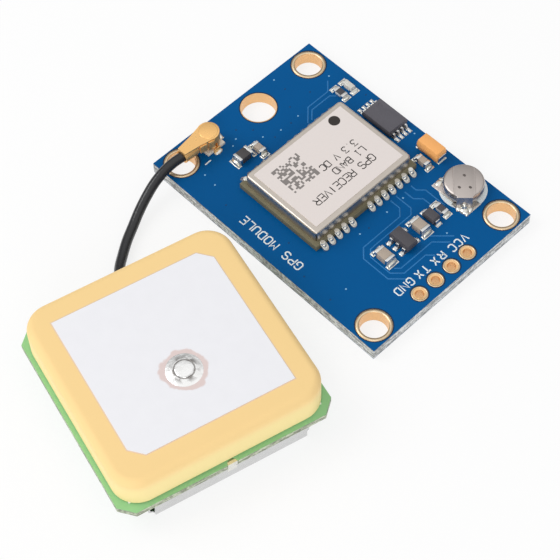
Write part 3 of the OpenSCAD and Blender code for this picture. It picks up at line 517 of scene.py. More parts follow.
class Recipe(Graph):
    """A Geometry Nodes tree with named inputs, which ends in realized geometry with a material."""

    def __init__(self, name, **sizes):
        super().__init__(bpy.data.node_groups.new(name, "GeometryNodeTree"))
        face = self.tree.interface
        face.new_socket("Geometry", in_out="INPUT", socket_type="NodeSocketGeometry")
        for label, kind in sizes.items():
            face.new_socket(label, in_out="INPUT", socket_type=kind)
        face.new_socket("Finish", in_out="INPUT", socket_type="NodeSocketMaterial")
        face.new_socket("Geometry", in_out="OUTPUT", socket_type="NodeSocketGeometry")
        self.start = self.tree.nodes.new("NodeGroupInput")

    def given(self, label):
        """The value of a named input."""
        return Value(self, self.start.outputs[label])

    def line(self):
        """The given mesh as a curve."""
        return self.node("GeometryNodeMeshToCurve", inputs={"Mesh": self.given("Geometry")})

    def sweep(self, line, section):
        """A closed solid of a section along a line."""
        return self.node(
            "GeometryNodeCurveToMesh",
            inputs={"Curve": line, "Profile Curve": section, "Fill Caps": True},
        )

    def close(self, geometry):
        """Ends the tree."""
        solid = self.node("GeometryNodeRealizeInstances", inputs={"Geometry": geometry})
        dressed = self.node(
            "GeometryNodeSetMaterial",
            inputs={"Geometry": solid, "Material": self.given("Finish")},
        )
        end = self.tree.nodes.new("NodeGroupOutput")
        self.feed(end.inputs[0], dressed)
        return self

    def grow(self, mesh, material, **sizes):
        """The plain mesh that the tree makes of a mesh of points or lines."""
        holder = bpy.data.objects.new("seed", mesh)
        bpy.context.scene.collection.objects.link(holder)
        modifier = holder.modifiers.new("recipe", "NODES")
        modifier.node_group = self.tree
        wanted = {**sizes, "Finish": material}
        for item in self.tree.interface.items_tree:
            if item.in_out == "INPUT" and item.name in wanted:
                modifier[item.identifier] = wanted[item.name]
        bpy.context.view_layer.update()
        evaluated = holder.evaluated_get(bpy.context.evaluated_depsgraph_get())
        grown = bpy.data.meshes.new_from_object(evaluated)
        holder.modifiers.remove(modifier)
        bpy.data.objects.remove(holder)
        return grown


def ribbon_recipe():
    """Flat strips along lines."""
    recipe = Recipe("ribbons", Width="NodeSocketFloat", Height="NodeSocketFloat")
    upright = recipe.node("GeometryNodeSetCurveNormal", {"mode": "Z_UP"}, {"Curve": recipe.line()})
    section = recipe.node(
        "GeometryNodeCurvePrimitiveQuadrilateral", {"mode": "RECTANGLE"},
        {"Width": recipe.given("Width"), "Height": recipe.given("Height")},
    )
    return recipe.close(recipe.sweep(upright, section))


def tube_recipe():
    """A round tube along a line."""
    recipe = Recipe("tube", Radius="NodeSocketFloat", Sides="NodeSocketInt")
    section = recipe.node(
        "GeometryNodeCurvePrimitiveCircle", {"mode": "RADIUS"},
        {"Resolution": recipe.given("Sides"), "Radius": recipe.given("Radius")},
    )
    tube = recipe.sweep(recipe.line(), section)
    return recipe.close(recipe.node("GeometryNodeSetShadeSmooth", inputs={"Geometry": tube}))


def scatter_recipe(name, kind, round_faces, **shape):
    """One small shape at every point, scaled by the point's size."""
    recipe = Recipe(name)
    seed = recipe.node(kind, inputs=shape)
    size = recipe.node(
        "GeometryNodeInputNamedAttribute", {"data_type": "FLOAT_VECTOR"}, {"Name": "size"},
        "Attribute",
    )
    placed = recipe.node(
        "GeometryNodeInstanceOnPoints",
        inputs={"Points": recipe.given("Geometry"), "Instance": seed, "Scale": size},
    )
    shaded = recipe.node(
        "GeometryNodeSetShadeSmooth", inputs={"Geometry": placed, "Shade Smooth": round_faces},
    )
    return recipe.close(shaded)


def drop_recipe(name):
    """One round drop at every point."""
    return scatter_recipe(
        name, "GeometryNodeMeshUVSphere", True, Segments=16, Rings=8, Radius=1.0,
    )


def line_mesh(lines, height):
    """A mesh of open lines given in millimetres on a plane at that height."""
    points, edges = [], []
    for line in lines:
        first = len(points)
        points += [(x * MM, y * MM, height * MM) for x, y in line]
        edges += [(i, i + 1) for i in range(first, len(points) - 1)]
    mesh = bpy.data.meshes.new("lines")
    mesh.from_pydata(points, edges, [])
    return mesh


def point_mesh(places):
    """A mesh of points given as (place, size) in millimetres, each with its size."""
    mesh = bpy.data.meshes.new("points")
    mesh.from_pydata([tuple(c * MM for c in place) for place, _ in places], [], [])
    sizes = mesh.attributes.new("size", "FLOAT_VECTOR", "POINT")
    sizes.data.foreach_set("vector", [c * MM for _, size in places for c in size])
    return mesh


def on_board(at, x=0, y=0):
    """A place on the board's upper face, set off from another place."""
    return at.x + x, at.y + y, BOARD_TOP


def ring(at, radius):
    """A closed line round a place."""
    turns = [2 * math.pi * i / RING_SIDES for i in range(RING_SIDES + 1)]
    return [(at.x + radius * math.cos(t), at.y + radius * math.sin(t)) for t in turns]


def word_lines(words):
    """The strokes of words as lines on a plane."""
    lines = []
    for word, start, reading, height, pitch in words:
        along, up = Vector(reading), Vector((-reading[1], reading[0]))
        unit = height / LETTER_ROWS
        for i, letter in enumerate(word):
            for stroke in LETTERS.get(letter, ()):
                lines.append([
                    tuple(Vector(start) + along * (i * pitch + x * unit) + up * (y * unit))
                    for x, y in stroke
                ])
    return lines


def smooth_path(points):
    """Points of a smooth line through the given points."""
    ends = [points[0], *points, points[-1]]
    path = []
    for i in range(1, len(ends) - 2):
        a, b, c, d = (Vector(p) for p in ends[i - 1:i + 3])
        bend, swing = 2 * a - 5 * b + 4 * c - d, 3 * b - a - 3 * c + d
        for k in range(PATH_STEPS):
            t = k / PATH_STEPS
            path.append(0.5 * (2 * b + (c - a) * t + bend * t * t + swing * t ** 3))
    path.append(Vector(points[-1]))
    return path


def cut_off(shape, at, out):
    """Cuts away what lies beyond a plane, and gives the edges of the cut."""
    cut = bmesh.ops.bisect_plane(
        shape, geom=[*shape.verts, *shape.edges, *shape.faces],
        plane_co=at, plane_no=out, clear_outer=True,
    )
    return [part for part in cut["geom_cut"] if isinstance(part, bmesh.types.BMEdge)]


def break_edges(shape, edge, clamp=True):
    """Breaks the sharp edges of a shape by edge millimetres."""
    sharp = [e for e in shape.edges if e.is_manifold and e.calc_face_angle(0) > SHARP]
    bmesh.ops.bevel(
        shape, geom=sharp, offset=edge * MM, segments=EDGE_FACES, profile=EDGE_PROFILE,
        affect="EDGES", clamp_overlap=clamp,
    )


def mesh_of(name, shape, smooth=True):
    """A mesh of a shape, with its round faces smooth if asked."""
    mesh = bpy.data.meshes.new(name)
    shape.to_mesh(mesh)
    shape.free()
    if smooth:
        mesh.shade_smooth()
        mesh.set_sharp_from_angle(angle=SHARP)
    return mesh


def add_piece(name, mesh, finish, slot, *nodes):
    """Puts a mesh in the scene as a finished piece, standing for nodes if any are named."""
    mesh.materials.clear()
    mesh.materials.append(FINISHES[finish])
    made = bpy.data.objects.new(name, mesh)
    bpy.context.scene.collection.objects.link(made)
    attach(made, "root")
    if nodes:
        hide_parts(*nodes)
    return made


def add_grown(name, recipe, seeds, finish, slot, *nodes, **sizes):
    """Puts what a recipe makes of points or lines in the scene."""
    return add_piece(name, recipe.grow(seeds, FINISHES[finish], **sizes), finish, slot, *nodes)


def add_solder(name, drops):
    """Round drops of solder given as (place, size) in millimetres."""
    add_grown(name, drop_recipe(name), point_mesh(drops), "solder", "solder")


def edged(node, edge, finish=None, shape=None):
    """A copy of a node, or a shape made from it, with its edges broken by edge millimetres."""
    shape = shape or merged(node)
    bmesh.ops.dissolve_limit(shape, angle_limit=FLAT, verts=shape.verts, edges=shape.edges)
    if edge:
        break_edges(shape, edge)
        bmesh.ops.dissolve_degenerate(shape, edges=shape.edges, dist=2 * MERGE)
    name, slot = f"{node}_edged", SLOTS[node]
    return add_piece(name, mesh_of(name, shape), finish or slot, slot, node)


def edged_group(edge, *nodes):
    """Edged copies of nodes, each in the finish of its slot."""
    return [edged(node, edge) for node in nodes]


def toned(base, amount):
    """A colour made darker or lighter."""
    return tuple(min(1.0, c * amount) for c in base)


def metal_finish(
    name, base, roughness, grain, stretch=(1, 1, 1), variation=0.06, depth=0.004, metallic=1.0,
):
    """Metal with a fine grain, slightly uneven in gloss and colour."""
    finish = Finish(name, metallic=metallic)
    grains = finish.noise(grain, 4.0, stretch)
    clouds = finish.noise(grain * 12)
    spread = 0.14
    finish.set(
        base_color=finish.shade(base, clouds, variation),
        roughness=finish.step(grains, 0.2, 0.8) * spread + (roughness - spread / 2),
    )
    return finish.bump(grains, depth)


def moulded_finish(name, base, roughness=0.5, grain=0.09, variation=0.1, depth=0.012):
    """Moulded or fired material with a fine matt grain."""
    finish = Finish(name, specular_ior_level=0.35)
    grains = finish.noise(grain, 3.0)
    clouds = finish.noise(grain * 9)
    spread = 0.16
    finish.set(
        base_color=finish.shade(base, clouds * 0.6 + grains * 0.4, variation),
        roughness=grains * spread + (roughness - spread / 2),
    )
    return finish.bump(grains, depth)


def mask_finish(name, base, fibre, low, top):
    """Solder mask on both faces of a board, and the cut fibres at its edges."""
    finish = Finish(name, specular_ior_level=0.08)
    normal = finish.node("ShaderNodeTexCoord", output="Normal")
    cut = 1 - finish.step(abs(finish.axes(normal)[2]), *CUT_SLOPE)
    share = (finish.axes()[2] - low * MM) / ((top - low) * MM)
    film = finish.step(abs(share - 0.5), *MASK_SHARE)
    clouds = finish.noise(6.0, 3.0)
    weave = finish.noise(0.5, 2.0)
    flat = finish.shade(base, clouds * 0.7 + weave * 0.3, 0.07)
    strands = finish.noise(0.2, 4.0, (9, 9, 1))
    chips = finish.noise(0.4, 4.0)
    torn = finish.step(strands * 0.6 + chips * 0.4, *TORN)
    edge = finish.mix(torn, toned(fibre, TORN_TONE), fibre)
    finish.set(
        base_color=finish.mix(cut, flat, finish.mix(film, edge, toned(base, MASK_EDGE_TONE))),
        roughness=cut * 0.4 + weave * 0.08 + 0.34,
    )
    return finish.bump(cut * torn + weave * 0.02, 0.06)


def label_finish(base, ink, seed):
    """Matt label film with the mark of the first pin and a field of printed cells."""
    finish = Finish("label_film", specular_ior_level=0.2)
    paper = finish.noise(0.06, 3.0)
    mark = 1 - finish.step(finish.away(LABEL.xy + Vector(PIN_MARK)), *PIN_MARK_EDGE)
    field = finish.local(LABEL.xy + Vector(CODE_FIELD))
    across, along, _ = finish.axes(field)
    inside = (abs(across) < CODE_SIDE / 2 * MM) & (abs(along) < CODE_SIDE / 2 * MM)
    cell = CODE_SIDE / CODE_CELLS * MM
    snapped = finish.node(
        "ShaderNodeVectorMath", {"operation": "SNAP"}, {0: field, 1: (cell, cell, 1.0)},
    )
    spread = finish.node(
        "ShaderNodeVectorMath", {"operation": "MULTIPLY_ADD"},
        {0: snapped, 1: (1 / MM,) * 3, 2: (seed, seed, 0)},
    )
    chance = finish.node(
        "ShaderNodeTexWhiteNoise", {"noise_dimensions": "2D"}, {"Vector": spread},
    )
    cells = inside & (chance > CODE_CHANCE)
    finish.set(
        base_color=finish.mix(mark | cells * CODE_INK, finish.shade(base, paper, 0.03), ink),
        roughness=paper * 0.1 + 0.5,
    )
    return finish.bump(paper, 0.004)


def ceramic_finish(base, flux):
    """Fired ceramic, browned along the edge of the silver face, with painted light that makes its
    side faces paler lower down.
    """
    finish = Finish("patch_ceramic", specular_ior_level=0.2)
    across, along, height = finish.axes(finish.local(ANTENNA.xy, ANTENNA_TURN))
    grains = finish.noise(0.12, 4.0)
    clouds = finish.noise(3.5, 2.0)
    cut = (abs(across - along) - (2 * ELECTRODE_HALF - ELECTRODE_CUT) * MM) * math.sqrt(0.5)
    outside = ((abs(across) | abs(along)) - ELECTRODE_HALF * MM) | cut
    face = height > (CERAMIC_TOP - FACE_DEPTH) * MM
    rim = (1 - finish.step(abs(outside), *BROWN_EDGE)) & face
    # Painted light: the side faces turn paler from near the top downwards, as if lit from the floor
    pale = tuple(min(1.0, c * 1.12 + 0.04) for c in base)
    rise = finish.step(height, *((CERAMIC_TOP - depth) * MM for depth in LIT_SIDE_DEPTH))
    lit_sides = finish.mix(rise, pale, base)
    clouded = finish.mix(clouds * 0.12 + grains * 0.1, lit_sides, toned(base, 0.85))
    finish.set(
        base_color=finish.mix(rim * 0.6, clouded, flux),
        roughness=grains * 0.15 + 0.48,
    )
    return finish.bump(grains, 0.012)


def silver_finish(base, flux):
    """Fired silver paste with a stain of flux round the feed."""
    finish = Finish("silver_paste", specular_ior_level=0.25)
    grains = finish.noise(0.08, 4.0)
    clouds = finish.noise(1.6, 3.0)
    from_feed = finish.away(FEED.xy) + (clouds - 0.5) * STAIN_WANDER
    stain = 1 - finish.step(from_feed, *STAIN_EDGE)
    finish.set(
        base_color=finish.mix(stain * 0.75, finish.shade(base, clouds, 0.02), flux),
        roughness=grains * 0.12 + 0.42,
    )
    return finish.bump(grains, 0.005)


def feed_finish(base, shade_and_smudge):
    """Bright solder, with grey patches round the head of the feed that are partly dull smudges and
    partly painted shade.
    """
    finish = Finish("feed_head", metallic=0.9)
    grains = finish.noise(0.7, 4.0)
    smudges = finish.noise(0.9, 3.0)
    from_head = finish.away(FEED.xy) - FEED_HEAD_R * MM
    round_head = (1 - finish.step(from_head, *SHADE_AND_SMUDGE_OUTER)) & finish.step(from_head, *SHADE_AND_SMUDGE_INNER)
    # Grey patches in a band round the head: painted shade next to the head, broken up into smudges
    shaded_smudges = round_head * finish.step(smudges, 0.42, 0.58)
    finish.set(
        base_color=finish.mix(shaded_smudges * 0.85, finish.shade(base, smudges, 0.1), shade_and_smudge),
        roughness=grains * 0.14 + 0.08,
    )
    return finish.bump(grains, 0.07)


def jacket_finish(base):
    """Extruded cable jacket with an uneven gloss."""
    finish = Finish("cable_jacket", specular_ior_level=0.5)
    grains = finish.noise(0.22, 4.0)
    finish.set(base_color=finish.shade(base, grains, 0.2), roughness=grains * 0.14 + 0.1)
    return finish.bump(grains, 0.02)


def lens_finish(base):
    """Clear resin over a pale base."""
    finish = Finish("lens_resin", transmission_weight=0.25, ior=1.5, coat_weight=0.5)
    clouds = finish.noise(0.4)
    return finish.set(base_color=finish.shade(base, clouds, 0.05), roughness=clouds * 0.1 + 0.12)


def ink_finish(name, base):
    """Printed ink with a faint unevenness."""
    finish = Finish(name, specular_ior_level=0.3)
    grains = finish.noise(0.12, 3.0)
    finish.set(base_color=finish.shade(base, grains, 0.05), roughness=grains * 0.1 + 0.5)
    return finish.bump(grains, 0.004)


def all_finishes(scene):
    """One material for each of the record's slots and for what is printed."""
    board, receiver, parts = scene.gps_board, scene.gps_receiver, scene.gps_parts
    antenna, cable = scene.gps_antenna, scene.gps_cable
    gilt = dict(roughness=0.34, grain=0.1, metallic=0.8)
    metals = {
        "gold_plating": dict(base=board.gold, **gilt),
        "gold_rim": dict(base=board.rim, **gilt),
        "solder": dict(
            base=parts.solder, roughness=0.2, grain=0.45, variation=0.12, depth=0.015, metallic=0.9,
        ),
        "cover_metal": dict(
            base=receiver.cover, roughness=0.36, grain=0.05, stretch=(14, 1, 1), variation=0.04,
        ),
        "tinned_leads": dict(
            base=parts.tin, roughness=0.28, grain=0.12, variation=0.08, depth=0.01,
        ),
        "battery_steel": dict(
            base=parts.steel, roughness=0.36, grain=0.06, stretch=(10, 1, 1), variation=0.04,
        ),
        "coax_gold": dict(base=cable.gold, roughness=0.32, grain=0.4, depth=0.002, metallic=0.7),
        "copper": dict(base=paint("#c98a55"), roughness=0.3, grain=0.1),
        "tinplate": dict(base=antenna.tinplate, roughness=0.3, grain=0.15, stretch=(6, 1, 1)),
        "weld_mark": dict(base=paint("#6d6763"), roughness=0.45, grain=0.1),
    }
    moulded = {
        "receiver_laminate": dict(
            base=receiver.laminate, roughness=0.55, grain=0.2, variation=0.3, depth=0.03,
        ),
        "mould_compound": dict(base=parts.mould),
        "memory_mould": dict(base=parts.memory),
        "tantalum_resin": dict(base=parts.tantalum, roughness=0.42, grain=0.12, variation=0.06),
        "capacitor_ceramic": dict(base=parts.ceramic, roughness=0.42, grain=0.1),
        "alumina": dict(base=parts.alumina, grain=0.08, variation=0.04),
        "ferrite": dict(base=parts.ferrite, roughness=0.4, grain=0.1, variation=0.12),
        "gasket": dict(base=paint("#393633")),
        "connector_plastic": dict(base=cable.plastic, roughness=0.45, grain=0.08, variation=0.04),
        "adhesive": dict(base=paint("#e9e4d2")),
    }
    inks = {
        "trace_mask": board.trace, "via_mask": board.via, "tented_mask": board.tented,
        "clearance": board.clearance, "feed_seam": paint("#aba7a4"), "silk_ink": board.ink,
        "label_ink": receiver.print_ink,
    }
    made = {
        **{name: metal_finish(name, **how) for name, how in metals.items()},
        **{name: moulded_finish(name, **how) for name, how in moulded.items()},
        **{name: ink_finish(name, base) for name, base in inks.items()},
        "board_mask": mask_finish("board_mask", board.mask, board.fibre, 0, BOARD_TOP),
        "antenna_mask": mask_finish(
            "antenna_mask", antenna.mask, paint("#cfd6c0"), ANTENNA_BOARD_LOW, ANTENNA_BOARD_TOP,
        ),
        "label": label_finish(receiver.label, receiver.print_ink, receiver.code_seed),
        "lens_resin": lens_finish(parts.lens),
        "cable_jacket": jacket_finish(cable.jacket),
        "patch_ceramic": ceramic_finish(antenna.ceramic, antenna.flux),
        "silver_paste": silver_finish(antenna.silver, antenna.flux),
        # The darker colour paints the shade and smudges round the feed's head
        "feed_head": feed_finish(paint("#fbfbf9"), paint("#77726e")),
    }
    return {name: finish.material for name, finish in made.items()}


class GPS_OT_finishes(Operator):
    """Makes the materials and gives every node the one of its slot"""

    bl_idname = "gps.finishes"
    bl_label = "Finishes"

    def execute(self, context):
        FINISHES.update(all_finishes(context.scene))
        for node, slot in SLOTS.items():
            materials = frame["nodes"][node].data.materials
            materials.clear()
            materials.append(FINISHES[slot])
        return {"FINISHED"}


class GPS_OT_cable(Operator):
    """Runs the cable from the plug into the antenna"""

    bl_idname = "gps.cable"
    bl_label = "Antenna cable"

    SIDES = 28
    # The coined disc as lower radius, upper radius and height
    DISC = (1.12, 1.07, 0.08)
    DISC_SIDES = 48
    NECK = 2.2
    TAIL_HALF = 0.85
    # Side folds of the neck as (start, end, drop) along it and down from below the top
    FOLDS = ((0.2, 1.0, 1.45), (1.18, 2.1, 1.15))
    FOLD_TOP = 0.22
    FOLD_T = 0.26

    def execute(self, context):
        cable = context.scene.gps_cable
        path = smooth_path([Vector(p) * MM for p in CABLE_POINTS])
        line = bpy.data.meshes.new("cable_line")
        line.from_pydata(path, [(i, i + 1) for i in range(len(path) - 1)], [])
        jacket = add_grown(
            "cable_jacket", tube_recipe(), line, "cable_jacket", "cable_jacket", "antenna_cable",
            Radius=cable.diameter / 2, Sides=self.SIDES,
        )
        plug = edged_group(
            SOFT_EDGE, "coax_plug_shell", "coax_plug_insulator", "coax_plug_contact",
        )
        plug.append(
            add_piece("plug_folds", self.folds(), "coax_gold", SLOTS["coax_plug_shell"])
        )
        return {"FINISHED"}

    def folds(self):
        """The coined disc on the plug's cap and the sheet folded down along its neck."""
        jack, top = middle("coax_jack_base"), corners("coax_plug_shell")[1]
        shape = bmesh.new()
        low, high, depth = (size * MM for size in self.DISC)
        bmesh.ops.create_cone(
            shape, cap_ends=True, segments=self.DISC_SIDES, radius1=low, radius2=high, depth=depth,
            matrix=Matrix.Translation(Vector((jack.x, jack.y, top.z)) * MM),
        )
        for side in (-1, 1):
            near = Vector((side * (top.x - jack.x), 0))
            far = Vector((side * self.TAIL_HALF, -self.NECK))
            turn = Matrix.Rotation(math.atan2(far.y - near.y, far.x - near.x), 4, "Z")
            for start, end, drop in self.FOLDS:
                at = jack.xy + near.lerp(far, (start + end) / 2 / self.NECK)
                place = Vector((*at, top.z - self.FOLD_TOP - drop / 2)) * MM
                size = Matrix.Diagonal((end - start, self.FOLD_T, drop, 1))
                bmesh.ops.create_cube(
                    shape, size=MM, matrix=Matrix.Translation(place) @ turn @ size,
                )
        break_edges(shape, PLAIN_EDGE, clamp=False)
        return mesh_of("plug_folds", shape)


class GPS_OT_board(Operator):
    """Edges the board's plating and lays its conductors, pads and printed marks"""

    bl_idname = "gps.board"
    bl_label = "Main board"

    TICK = ((-13.15, -8.45), (-13.18, -7.55))
    DISC_R = 2.75
    DISC_SIDES = 72
    DISC_MARGIN = 0.05
    FILM = 0.03
    PAD_MARGIN = 0.08
    CLEARANCE = 0.06
    RIM = 0.22
    HEADER_RIM = 0.11
    EYELETS = ("mounting_eyelets", "header_eyelets", "lead_hole_eyelet")
    # The pad under the cell's upper tab as (offset from the cell's middle, size)
    BATTERY_PAD = ((1.65, -1.3), (2.35, 2.4))
    PADDED = (
        "solder_fillets", "memory_leads", "regulator_leads", "diode_leads", "tantalum_terminals",
        "battery_lower_tab", "coax_jack_pin",
    )

    def execute(self, context):
        board, ribbons = context.scene.gps_board, ribbon_recipe()
        edged_group(FINE_EDGE, *self.EYELETS)
        self.lay_lines(board, ribbons)
        self.lay_rings(board, ribbons)
        self.lay_dots(board)
        self.lay_pads()
        add_piece("battery_print", self.clipped_disc(), "silk_ink", "label")
        return {"FINISHED"}

    def lay_lines(self, board, ribbons):
        """Conductors and printed words, as flat strips."""
        add_grown(
            "board_traces", ribbons, line_mesh(TRACES, BOARD_TOP), "trace_mask", "board_mask",
            Width=board.trace_width, Height=board.trace_height,
        )
        strokes = line_mesh([*word_lines(BOARD_WORDS), self.TICK], BOARD_TOP)
        add_grown(
            "board_words", ribbons, strokes, "silk_ink", "label",
            Width=board.ink_width, Height=self.FILM * MM,
        )

    def lay_rings(self, board, ribbons):
        """Mask left clear round the eyelets, and the bright rims of their plating."""
        mounting, header, _ = self.EYELETS
        for name, finish, slot, nodes, width, step in (
            ("mask_clearances", "clearance", "board_mask", self.EYELETS,
             board.clearance_width, self.CLEARANCE),
            ("plating_rims", "gold_rim", "gold_plating", [mounting],
             board.rim_width, -self.RIM),
            ("header_rims", "gold_rim", "gold_plating", [header],
             board.header_rim_width, -self.HEADER_RIM),
        ):
            rings = [ring(at, size.x / 2 + step) for node in nodes for at, size in solids(node)]
            add_grown(
                name, ribbons, line_mesh(rings, BOARD_TOP), finish, slot,
                Width=width, Height=self.FILM * MM,
            )

    def lay_dots(self, board):
        """Holes that join the board's layers, covered by the mask."""
        dots = drop_recipe("dots")
        size = (board.via_radius / MM, board.via_radius / MM, self.FILM)
        for name, places, finish in (
            ("bright_vias", BRIGHT_VIAS, "via_mask"), ("dark_vias", DARK_VIAS, "tented_mask"),
        ):
            seeds = point_mesh([((x, y, BOARD_TOP), size) for x, y in places])
            add_grown(name, dots, seeds, finish, "board_mask")

    def lay_pads(self):
        """Tinned pads that reach a little past what is soldered on them."""
        margin, height = 2 * self.PAD_MARGIN, 2 * self.FILM
        pads = [
            (on_board(at), (size.x + margin, size.y + margin, height))
            for node in self.PADDED for at, size in solids(node)
        ]
        offset, size = self.BATTERY_PAD
        pads.append((on_board(BATTERY, *offset), (*size, height)))
        plates = scatter_recipe("plates", "GeometryNodeMeshCube", False, Size=(1.0, 1.0, 1.0))
        add_grown("board_pads", plates, point_mesh(pads), "solder", "solder")

    def clipped_disc(self):
        """A printed disc under the backup cell, which ends at the board's edge."""
        shape = bmesh.new()
        bmesh.ops.create_circle(
            shape, cap_ends=True, radius=self.DISC_R * MM, segments=self.DISC_SIDES,
        )
        bmesh.ops.translate(shape, verts=shape.verts, vec=Vector(on_board(BATTERY)) * MM)
        cut_off(shape, (0, (BOARD_HIGH.y - self.DISC_MARGIN) * MM, 0), (0, 1, 0))
        raised = bmesh.ops.extrude_face_region(shape, geom=list(shape.faces))["geom"]
        bmesh.ops.translate(
            shape, verts=[part for part in raised if isinstance(part, bmesh.types.BMVert)],
            vec=(0, 0, self.FILM / 2 * MM),
        )
        bmesh.ops.recalc_face_normals(shape, faces=shape.faces)
        return mesh_of("battery_print", shape, smooth=False)


class GPS_OT_receiver(Operator):
    """Finishes the receiver's cover and prints its label"""

    bl_idname = "gps.receiver"
    bl_label = "Receiver"

    FILM = 0.01
    # Lumps of solder at a contact as (way back from its outer end, height, size)
    BEADS = ((0.64, 0.44, (0.28, 0.3, 0.28)), (0.42, 0.12, (0.32, 0.39, 0.24)))

    def execute(self, context):
        edged("receiver_cover", AS_CUT)
        edged("receiver_substrate", FINE_EDGE)
        edged("receiver_contacts", FLOWED_EDGE)
        add_solder("contact_solder", list(self.beads()))
        lines = [
            [(LABEL.x + x, LABEL.y + y) for x, y in line] for line in word_lines(LABEL_WORDS)
        ]
        add_grown(
            "label_words", ribbon_recipe(), line_mesh(lines, LABEL_TOP), "label_ink", "label",
            Width=context.scene.gps_receiver.print_width, Height=self.FILM * MM,
        )
        return {"FINISHED"}

    def beads(self):
        """A lump in each half hole and one at its foot, as (place, size)."""
        for at, size in solids("receiver_contacts"):
            outward = math.copysign(1, at.x - LABEL.x)
            for back, height, spread in self.BEADS:
                yield (at.x + outward * (size.x / 2 - back), at.y, BOARD_TOP + height), spread


class GPS_OT_chips(Operator):
    """Finishes the leaded chips and the solder on their feet"""

    bl_idname = "gps.chips"
    bl_label = "Leaded chips"

    BODIES = {
        "memory_leads": "memory_body",
        "regulator_leads": "regulator_body",
        "diode_leads": "diode_body",
    }
    # Way out along a lead to the middle of its solder, as a share of the lead
    SHIFT = 0.3
    # Solder on a foot as half its length, what it adds to each side, and its height
    DOME = (0.32, 0.1, 0.16)

    def execute(self, context):
        edged("memory_body", PLAIN_EDGE, "memory_mould")
        edged_group(PLAIN_EDGE, "regulator_body", "diode_body")
        edged_group(FINE_EDGE, *self.BODIES)
        add_solder("lead_solder", [
            foot for leads, body in self.BODIES.items() for foot in self.feet(leads, middle(body))
        ])
        return {"FINISHED"}

    def feet(self, leads, body):
        """A low dome of solder on the outer end of each lead, as (place, size)."""
        half, margin, height = self.DOME
        for at, size in solids(leads):
            along = 0 if size.x > size.y else 1
            place = at.copy()
            place[along] += math.copysign(self.SHIFT * size[along], at[along] - body[along])
            place.z = BOARD_TOP
            spread = [0.0, 0.0, height]
            spread[along] = half
            spread[1 - along] = size[1 - along] / 2 + margin
            yield place, spread


class GPS_OT_chip_parts(Operator):
    """Finishes the capacitors, resistors, inductor and light"""

    bl_idname = "gps.chip_parts"
    bl_label = "Chip parts"

    SPREAD = 0.04
    CLIMB = 0.7

    def execute(self, context):
        edged_group(
            SOFT_EDGE, "tantalum_body", "capacitor_bodies", "capacitor_ends", "inductor_body",
            "inductor_ends",
        )
        edged_group(
            FINE_EDGE, "tantalum_terminals", "resistor_bodies", "resistor_ends", "light_base",
            "light_ends",
        )
        edged_group(SOFT_EDGE, "light_lens", "solder_fillets")
        edged("resistor_coatings", KEEN_EDGE)
        add_solder("fillet_solder", [
            (on_board(at),
             (size.x / 2 + self.SPREAD, size.y / 2 + self.SPREAD, size.z * self.CLIMB))
            for at, size in solids("solder_fillets")
        ])
        return {"FINISHED"}


class GPS_OT_battery(Operator):
    """Finishes the backup cell"""

    bl_idname = "gps.battery"
    bl_label = "Backup cell"

    WELD = (0.2, 0.16, 0.015)
    # The upper tab's tail points this way, and is cut at these turns from it
    TAIL_TURN = math.radians(135)
    TAIL_CUTS = [math.radians(turn) for turn in (-42, -24, 24, 42)]
    TAIL_R = 2.04
    # Solder on the tabs as (offset from the cell's middle, size)
    DROPS = (
        ((1.85, -1.85), (0.42, 0.42, 0.9)),
        ((2.05, -2.05), (0.6, 0.6, 0.36)),
        ((2.35, -1.5), (0.45, 0.4, 0.26)),
        ((1.5, -2.3), (0.4, 0.42, 0.26)),
        ((2.5, -2.2), (0.36, 0.3, 0.2)),
        ((-2.4, -1.3), (0.5, 0.6, 0.24)),
        ((-2.55, -0.8), (0.4, 0.36, 0.18)),
    )

    def execute(self, context):
        edged_group(SOFT_EDGE, "battery_can", "battery_lower_tab")
        edged("battery_upper_tab", FINE_EDGE, shape=self.upper_tab())
        spots = point_mesh([((BATTERY.x + x, BATTERY.y + y, TAB_TOP), self.WELD) for x, y in WELDS])
        add_grown("battery_welds", drop_recipe("welds"), spots, "weld_mark", "battery_steel")
        add_solder("cell_solder", [(on_board(BATTERY, *at), size) for at, size in self.DROPS])
        return {"FINISHED"}

    def upper_tab(self):
        """The upper tab with the corners of its tail cut back from the can's rim."""
        shape = merged("battery_upper_tab")
        for turn in self.TAIL_CUTS:
            out = Vector((math.cos(self.TAIL_TURN + turn), math.sin(self.TAIL_TURN + turn), 0))
            rim = cut_off(shape, (BATTERY + out * self.TAIL_R) * MM, out)
            bmesh.ops.edgenet_fill(shape, edges=rim)
        bmesh.ops.recalc_face_normals(shape, faces=shape.faces)
        return shape


class GPS_OT_connector(Operator):
    """Finishes the jack and the solder on its tabs"""

    bl_idname = "gps.connector"
    bl_label = "Coaxial jack"

    # Solder on the tabs as (offset from the jack's middle, size)
    DROPS = (
        ((1.55, 0), (0.4, 0.62, 0.24)),
        ((-1.55, 0), (0.4, 0.62, 0.24)),
        ((0, 1.55), (0.62, 0.4, 0.24)),
    )

    def execute(self, context):
        edged_group(PLAIN_EDGE, "coax_jack_base", "coax_jack_collar", "coax_jack_pin")
        jack = middle("coax_jack_base")
        add_solder("jack_solder", [(on_board(jack, *at), size) for at, size in self.DROPS])
        return {"FINISHED"}


class GPS_OT_antenna(Operator):
    """Finishes the patch antenna"""

    bl_idname = "gps.antenna"
    bl_label = "Patch antenna"

    SEAM = 0.07
    SEAM_H = 0.03

    def execute(self, context):
        edged_group(AS_CUT, "ceramic_patch", "antenna_shield")
        edged_group(PLAIN_EDGE, "antenna_board", "shield_solder")
        edged("feed_solder", PLAIN_EDGE, "feed_head")
        edged("feed_pin", ROUND_EDGE, "feed_head")
        seam = ring(FEED, FEED_HEAD_R + self.SEAM / 2)
        add_grown(
            "feed_seam", ribbon_recipe(), line_mesh([seam], corners("feed_solder")[1].z),
            "feed_seam", SLOTS["feed_solder"], Width=self.SEAM * MM, Height=self.SEAM_H * MM,
        )
        return {"FINISHED"}


